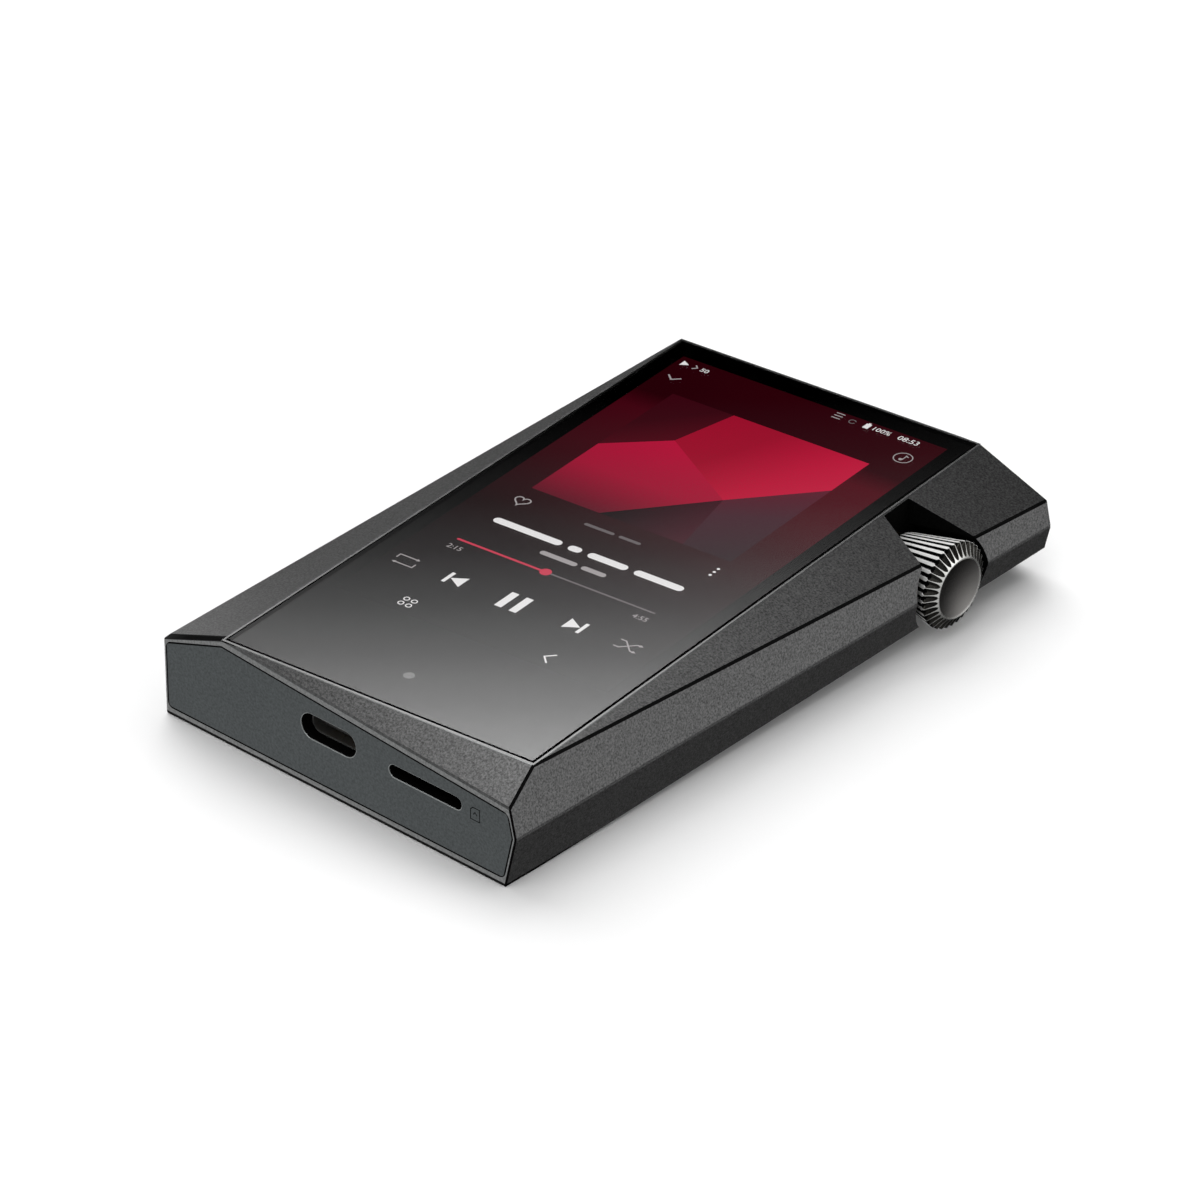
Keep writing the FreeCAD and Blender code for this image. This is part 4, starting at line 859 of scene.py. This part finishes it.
MAT = make_materials()
PLAIN = {
    "black": ["encoder_disc", "encoder_case", "previous_plunger", "play_plunger", "next_plunger",
              "power_plunger", "side_switches", "power_switch", "usb_tongue", "card_socket_base",
              "jack_large", "jack_medium", "jack_small", "board_chips", "battery_circuit"],
    "sheet": ["display_backplate", "encoder_shaft", "processor_shield", "audio_shield"],
    "steel": ["usb_shell", "card_socket_cover", "board_screws"],
    "gold": ["usb_contacts"],
    "brass": ["encoder_bush", "encoder_nut"],
    "foam": ["glass_adhesive", "back_cover_adhesive", "battery_pads"],
    "flex": ["display_flex", "battery_lead", "antenna_flex", "side_flex"],
    "board": ["main_board", "audio_board", "encoder_board", "side_key_board", "power_key_board"],
    "pouch": ["battery"],
    "glow": ["display_panel"],
}


def paint_all():
    for material, names in PLAIN.items():
        for name in names:
            paint_node(name, MAT[material])
    for name in ("previous_button", "play_button", "next_button", "power_button"):
        paint_node(name, MAT["button"])
    for name in ("jack_large_ring", "jack_medium_ring", "jack_small_ring"):
        paint_node(name, MAT["ring"])
    paint_node("back_cover", MAT["back"])


# ---- stage ---------------------------------------------------------------------------------


def look_along(thing, place, forward, upward):
    forward, upward = Vector(forward).normalized(), Vector(upward).normalized()
    right = forward.cross(upward).normalized()
    upward = right.cross(forward)
    turn = Matrix((right, upward, -forward)).transposed().to_4x4()
    thing.matrix_world = Matrix.Translation(place) @ turn


def make_camera():
    camera = bpy.data.objects.new("camera", bpy.data.cameras.new("camera"))
    bpy.context.scene.collection.objects.link(camera)
    camera.data.sensor_width = 36.0
    camera.data.lens = 182.06
    camera.data.clip_start, camera.data.clip_end = 0.01, 50.0
    look_along(camera, mm(474.129, -523.871, 429.695), (-0.5778, 0.6344, -0.5136),
               (-0.3488, 0.377, 0.858))
    bpy.context.scene.camera = camera


def flat_mesh(name, corners, material):
    mesh = bpy.data.meshes.new(name)
    mesh.from_pydata(corners, [], [tuple(range(len(corners)))])
    mesh.materials.append(material)
    thing = bpy.data.objects.new(name, mesh)
    bpy.context.scene.collection.objects.link(thing)
    return thing


def make_floor():
    p = Paint("pale_floor", roughness=0.9)
    faint = p.noise(30.0, 2.0)
    material = p.wire(base_color=p.mix(faint, (0.93, 0.93, 0.93, 1), (0.95, 0.95, 0.95, 1)))
    size, level = 6.0, 0.00001  # a hair above the back cover, so that the two share no plane
    floor = flat_mesh("floor", [(-size, -size, level), (size, -size, level), (size, size, level),
                                (-size, size, level)], material)
    floor.visible_glossy = False
    floor.visible_diffuse = False


def emitter(name, centre, facing, upward, half_w, half_h, stops, strength, only, flat=0.8):
    """A soft panel, unseen by the camera, whose light changes along its height.

    It fades out sideways beyond the share "flat" of its half width, and lights "only" those.
    """
    p = Paint(name, base_color=(0.0, 0.0, 0.0, 1.0), specular_ior_level=0.0,
              emission_strength=strength)
    axes = p.node("ShaderNodeSeparateXYZ", Vector=p.place)
    rise = p.grey(axes.outputs["Y"], 0.0, 1.0, -half_h, half_h)
    level = p.ramp(rise, *[(place, (value, value, value, 1)) for place, value in stops])
    edge_x = p.node("ShaderNodeMath", Value=axes.outputs["X"])
    edge_x.operation = "ABSOLUTE"
    fade = p.grey(edge_x.outputs[0], 1.0, 0.0, half_w * flat, half_w)
    material = p.wire(emission_color=p.times(level, fade))
    card = flat_mesh(name, [(-half_w, -half_h, 0), (half_w, -half_h, 0), (half_w, half_h, 0),
                            (-half_w, half_h, 0)], material)
    look_along(card, centre, -Vector(facing), upward)
    card.visible_camera = False
    card.visible_diffuse = False
    card.visible_shadow = False
    lit_things = bpy.data.collections.new(name + "_lights")
    for thing in only:
        lit_things.objects.link(thing)
    card.light_linking.receiver_collection = lit_things


# height up the card (0 to 1), its light: nothing at the foot, most at two thirds, then a soft end
GLARE = [(0.1667, 0.0), (0.222, 0.004), (0.2733, 0.0124), (0.3267, 0.034), (0.38, 0.0765),
         (0.4333, 0.147), (0.486, 0.249), (0.5393, 0.3845), (0.6667, 0.75), (0.75, 0.66),
         (0.87, 0.2), (1.0, 0.0)]
GLARE_STRENGTH = 6.0
GLARE_DISTANCE = 0.32


def make_glare_card(mirrors):
    """The card that the deck mirrors towards the camera."""
    mirror = Vector((-0.5778, 0.6344, 0.5136)).normalized()
    rise = Z - mirror * mirror.z
    centre = mm(0, 0, 16) + mirror * GLARE_DISTANCE + rise.normalized() * 0.03
    emitter("glare_card", centre, -mirror, Z, 0.16, 0.09, GLARE, GLARE_STRENGTH, mirrors, 0.55)


# name, centre, the way it faces, its own up, half its width and height (m), light up its height,
# strength
PANELS = [
    ("near_panel", mm(20, -30, 130), (0, 0, -1), (0, 1, 0), 0.075, 0.1,
     [(0.0, 0.0), (0.2, 1.0), (0.8, 1.0), (1.0, 0.0)], 2.97),
    ("mid_panel", mm(10, 60, 130), (0, 0, -1), (0, 1, 0), 0.075, 0.08,
     [(0.0, 1.0), (0.5, 1.0), (1.0, 0.0)], 0.77),
    ("side_panel", mm(-120, -45, 50), (1, 0, 0), (0, -1, 0), 0.05, 0.08,
     [(0.0, 0.0), (0.3, 1.0), (1.0, 1.0)], 1.4),
]
# name, direction towards it, strength, angular size in degrees
SUNS = [
    ("key", (-0.62, 0.33, 0.71), 2.2, 56),
    ("front_fill", (0.0, -0.45, 0.89), 0.93, 50),
    ("back_fill", (0.0, 0.45, 0.89), 0.535, 50),
    ("right_fill", (0.45, 0.0, 0.89), 0.25, 60),
    ("low_fill", (0.3, -0.9, 0.35), 0.4, 30),
]
# direction, sharpness and strength of each soft lobe of the studio's light
LOBES = [
    ((-0.578, -0.634, -0.514), 5.0, 1.09),
    ((0.85, -0.2, -0.45), 7.0, 0.6),
    ((0.9, 0.45, 0.25), 8.0, 1.85),
    ((0.78, 0.60, 0.02), 7.0, 0.15),
    ((-0.95, 0.3, 0.0), 8.0, 0.64),
]


def make_world():
    """A dark studio with a few very soft lights round it."""
    world = bpy.data.worlds.new("studio")
    bpy.context.scene.world = world
    world.use_nodes = True
    tree = world.node_tree
    place = tree.nodes.new("ShaderNodeTexCoord").outputs["Generated"]
    total = None
    for direction, sharpness, strength in LOBES:
        facing = tree.nodes.new("ShaderNodeVectorMath")
        facing.operation = "DOT_PRODUCT"
        tree.links.new(place, facing.inputs[0])
        facing.inputs[1].default_value = Vector(direction).normalized()
        steps = [("MULTIPLY_ADD", sharpness, -sharpness), ("EXPONENT", None, None),
                 ("MULTIPLY", strength, None)]
        value = facing.outputs["Value"]
        for operation, second, third in steps:
            step = tree.nodes.new("ShaderNodeMath")
            step.operation = operation
            tree.links.new(value, step.inputs[0])
            if second is not None:
                step.inputs[1].default_value = second
            if third is not None:
                step.inputs[2].default_value = third
            value = step.outputs[0]
        if total is not None:
            adding = tree.nodes.new("ShaderNodeMath")
            tree.links.new(total, adding.inputs[0])
            tree.links.new(value, adding.inputs[1])
            value = adding.outputs[0]
        total = value
    tree.links.new(total, tree.nodes["Background"].inputs["Color"])


def make_sun(name, towards, strength, degrees):
    light = bpy.data.lights.new(name, "SUN")
    light.energy = strength
    light.angle = math.radians(degrees)
    thing = bpy.data.objects.new(name, light)
    bpy.context.scene.collection.objects.link(thing)
    look_along(thing, Vector(towards) * 2, -Vector(towards), (0, 1, 0))
    thing.visible_glossy = False


make_camera()
paint_all()
make_housing()
make_end_panel("bottom_cap", -1)
make_end_panel("top_cap", 1)
make_card_mark()
make_knob()
make_knob_cap()
glass = make_glass()
rim_line = make_deck_rim()
make_screen()

all_but_glass = [thing for thing in bpy.context.scene.objects
                 if thing.type == "MESH" and thing != glass]
make_floor()
make_glare_card([glass, rim_line])
for panel in PANELS:
    emitter(*panel, all_but_glass)
make_world()
for sun in SUNS:
    make_sun(*sun)
bpy.context.scene.view_settings.view_transform = "Standard"
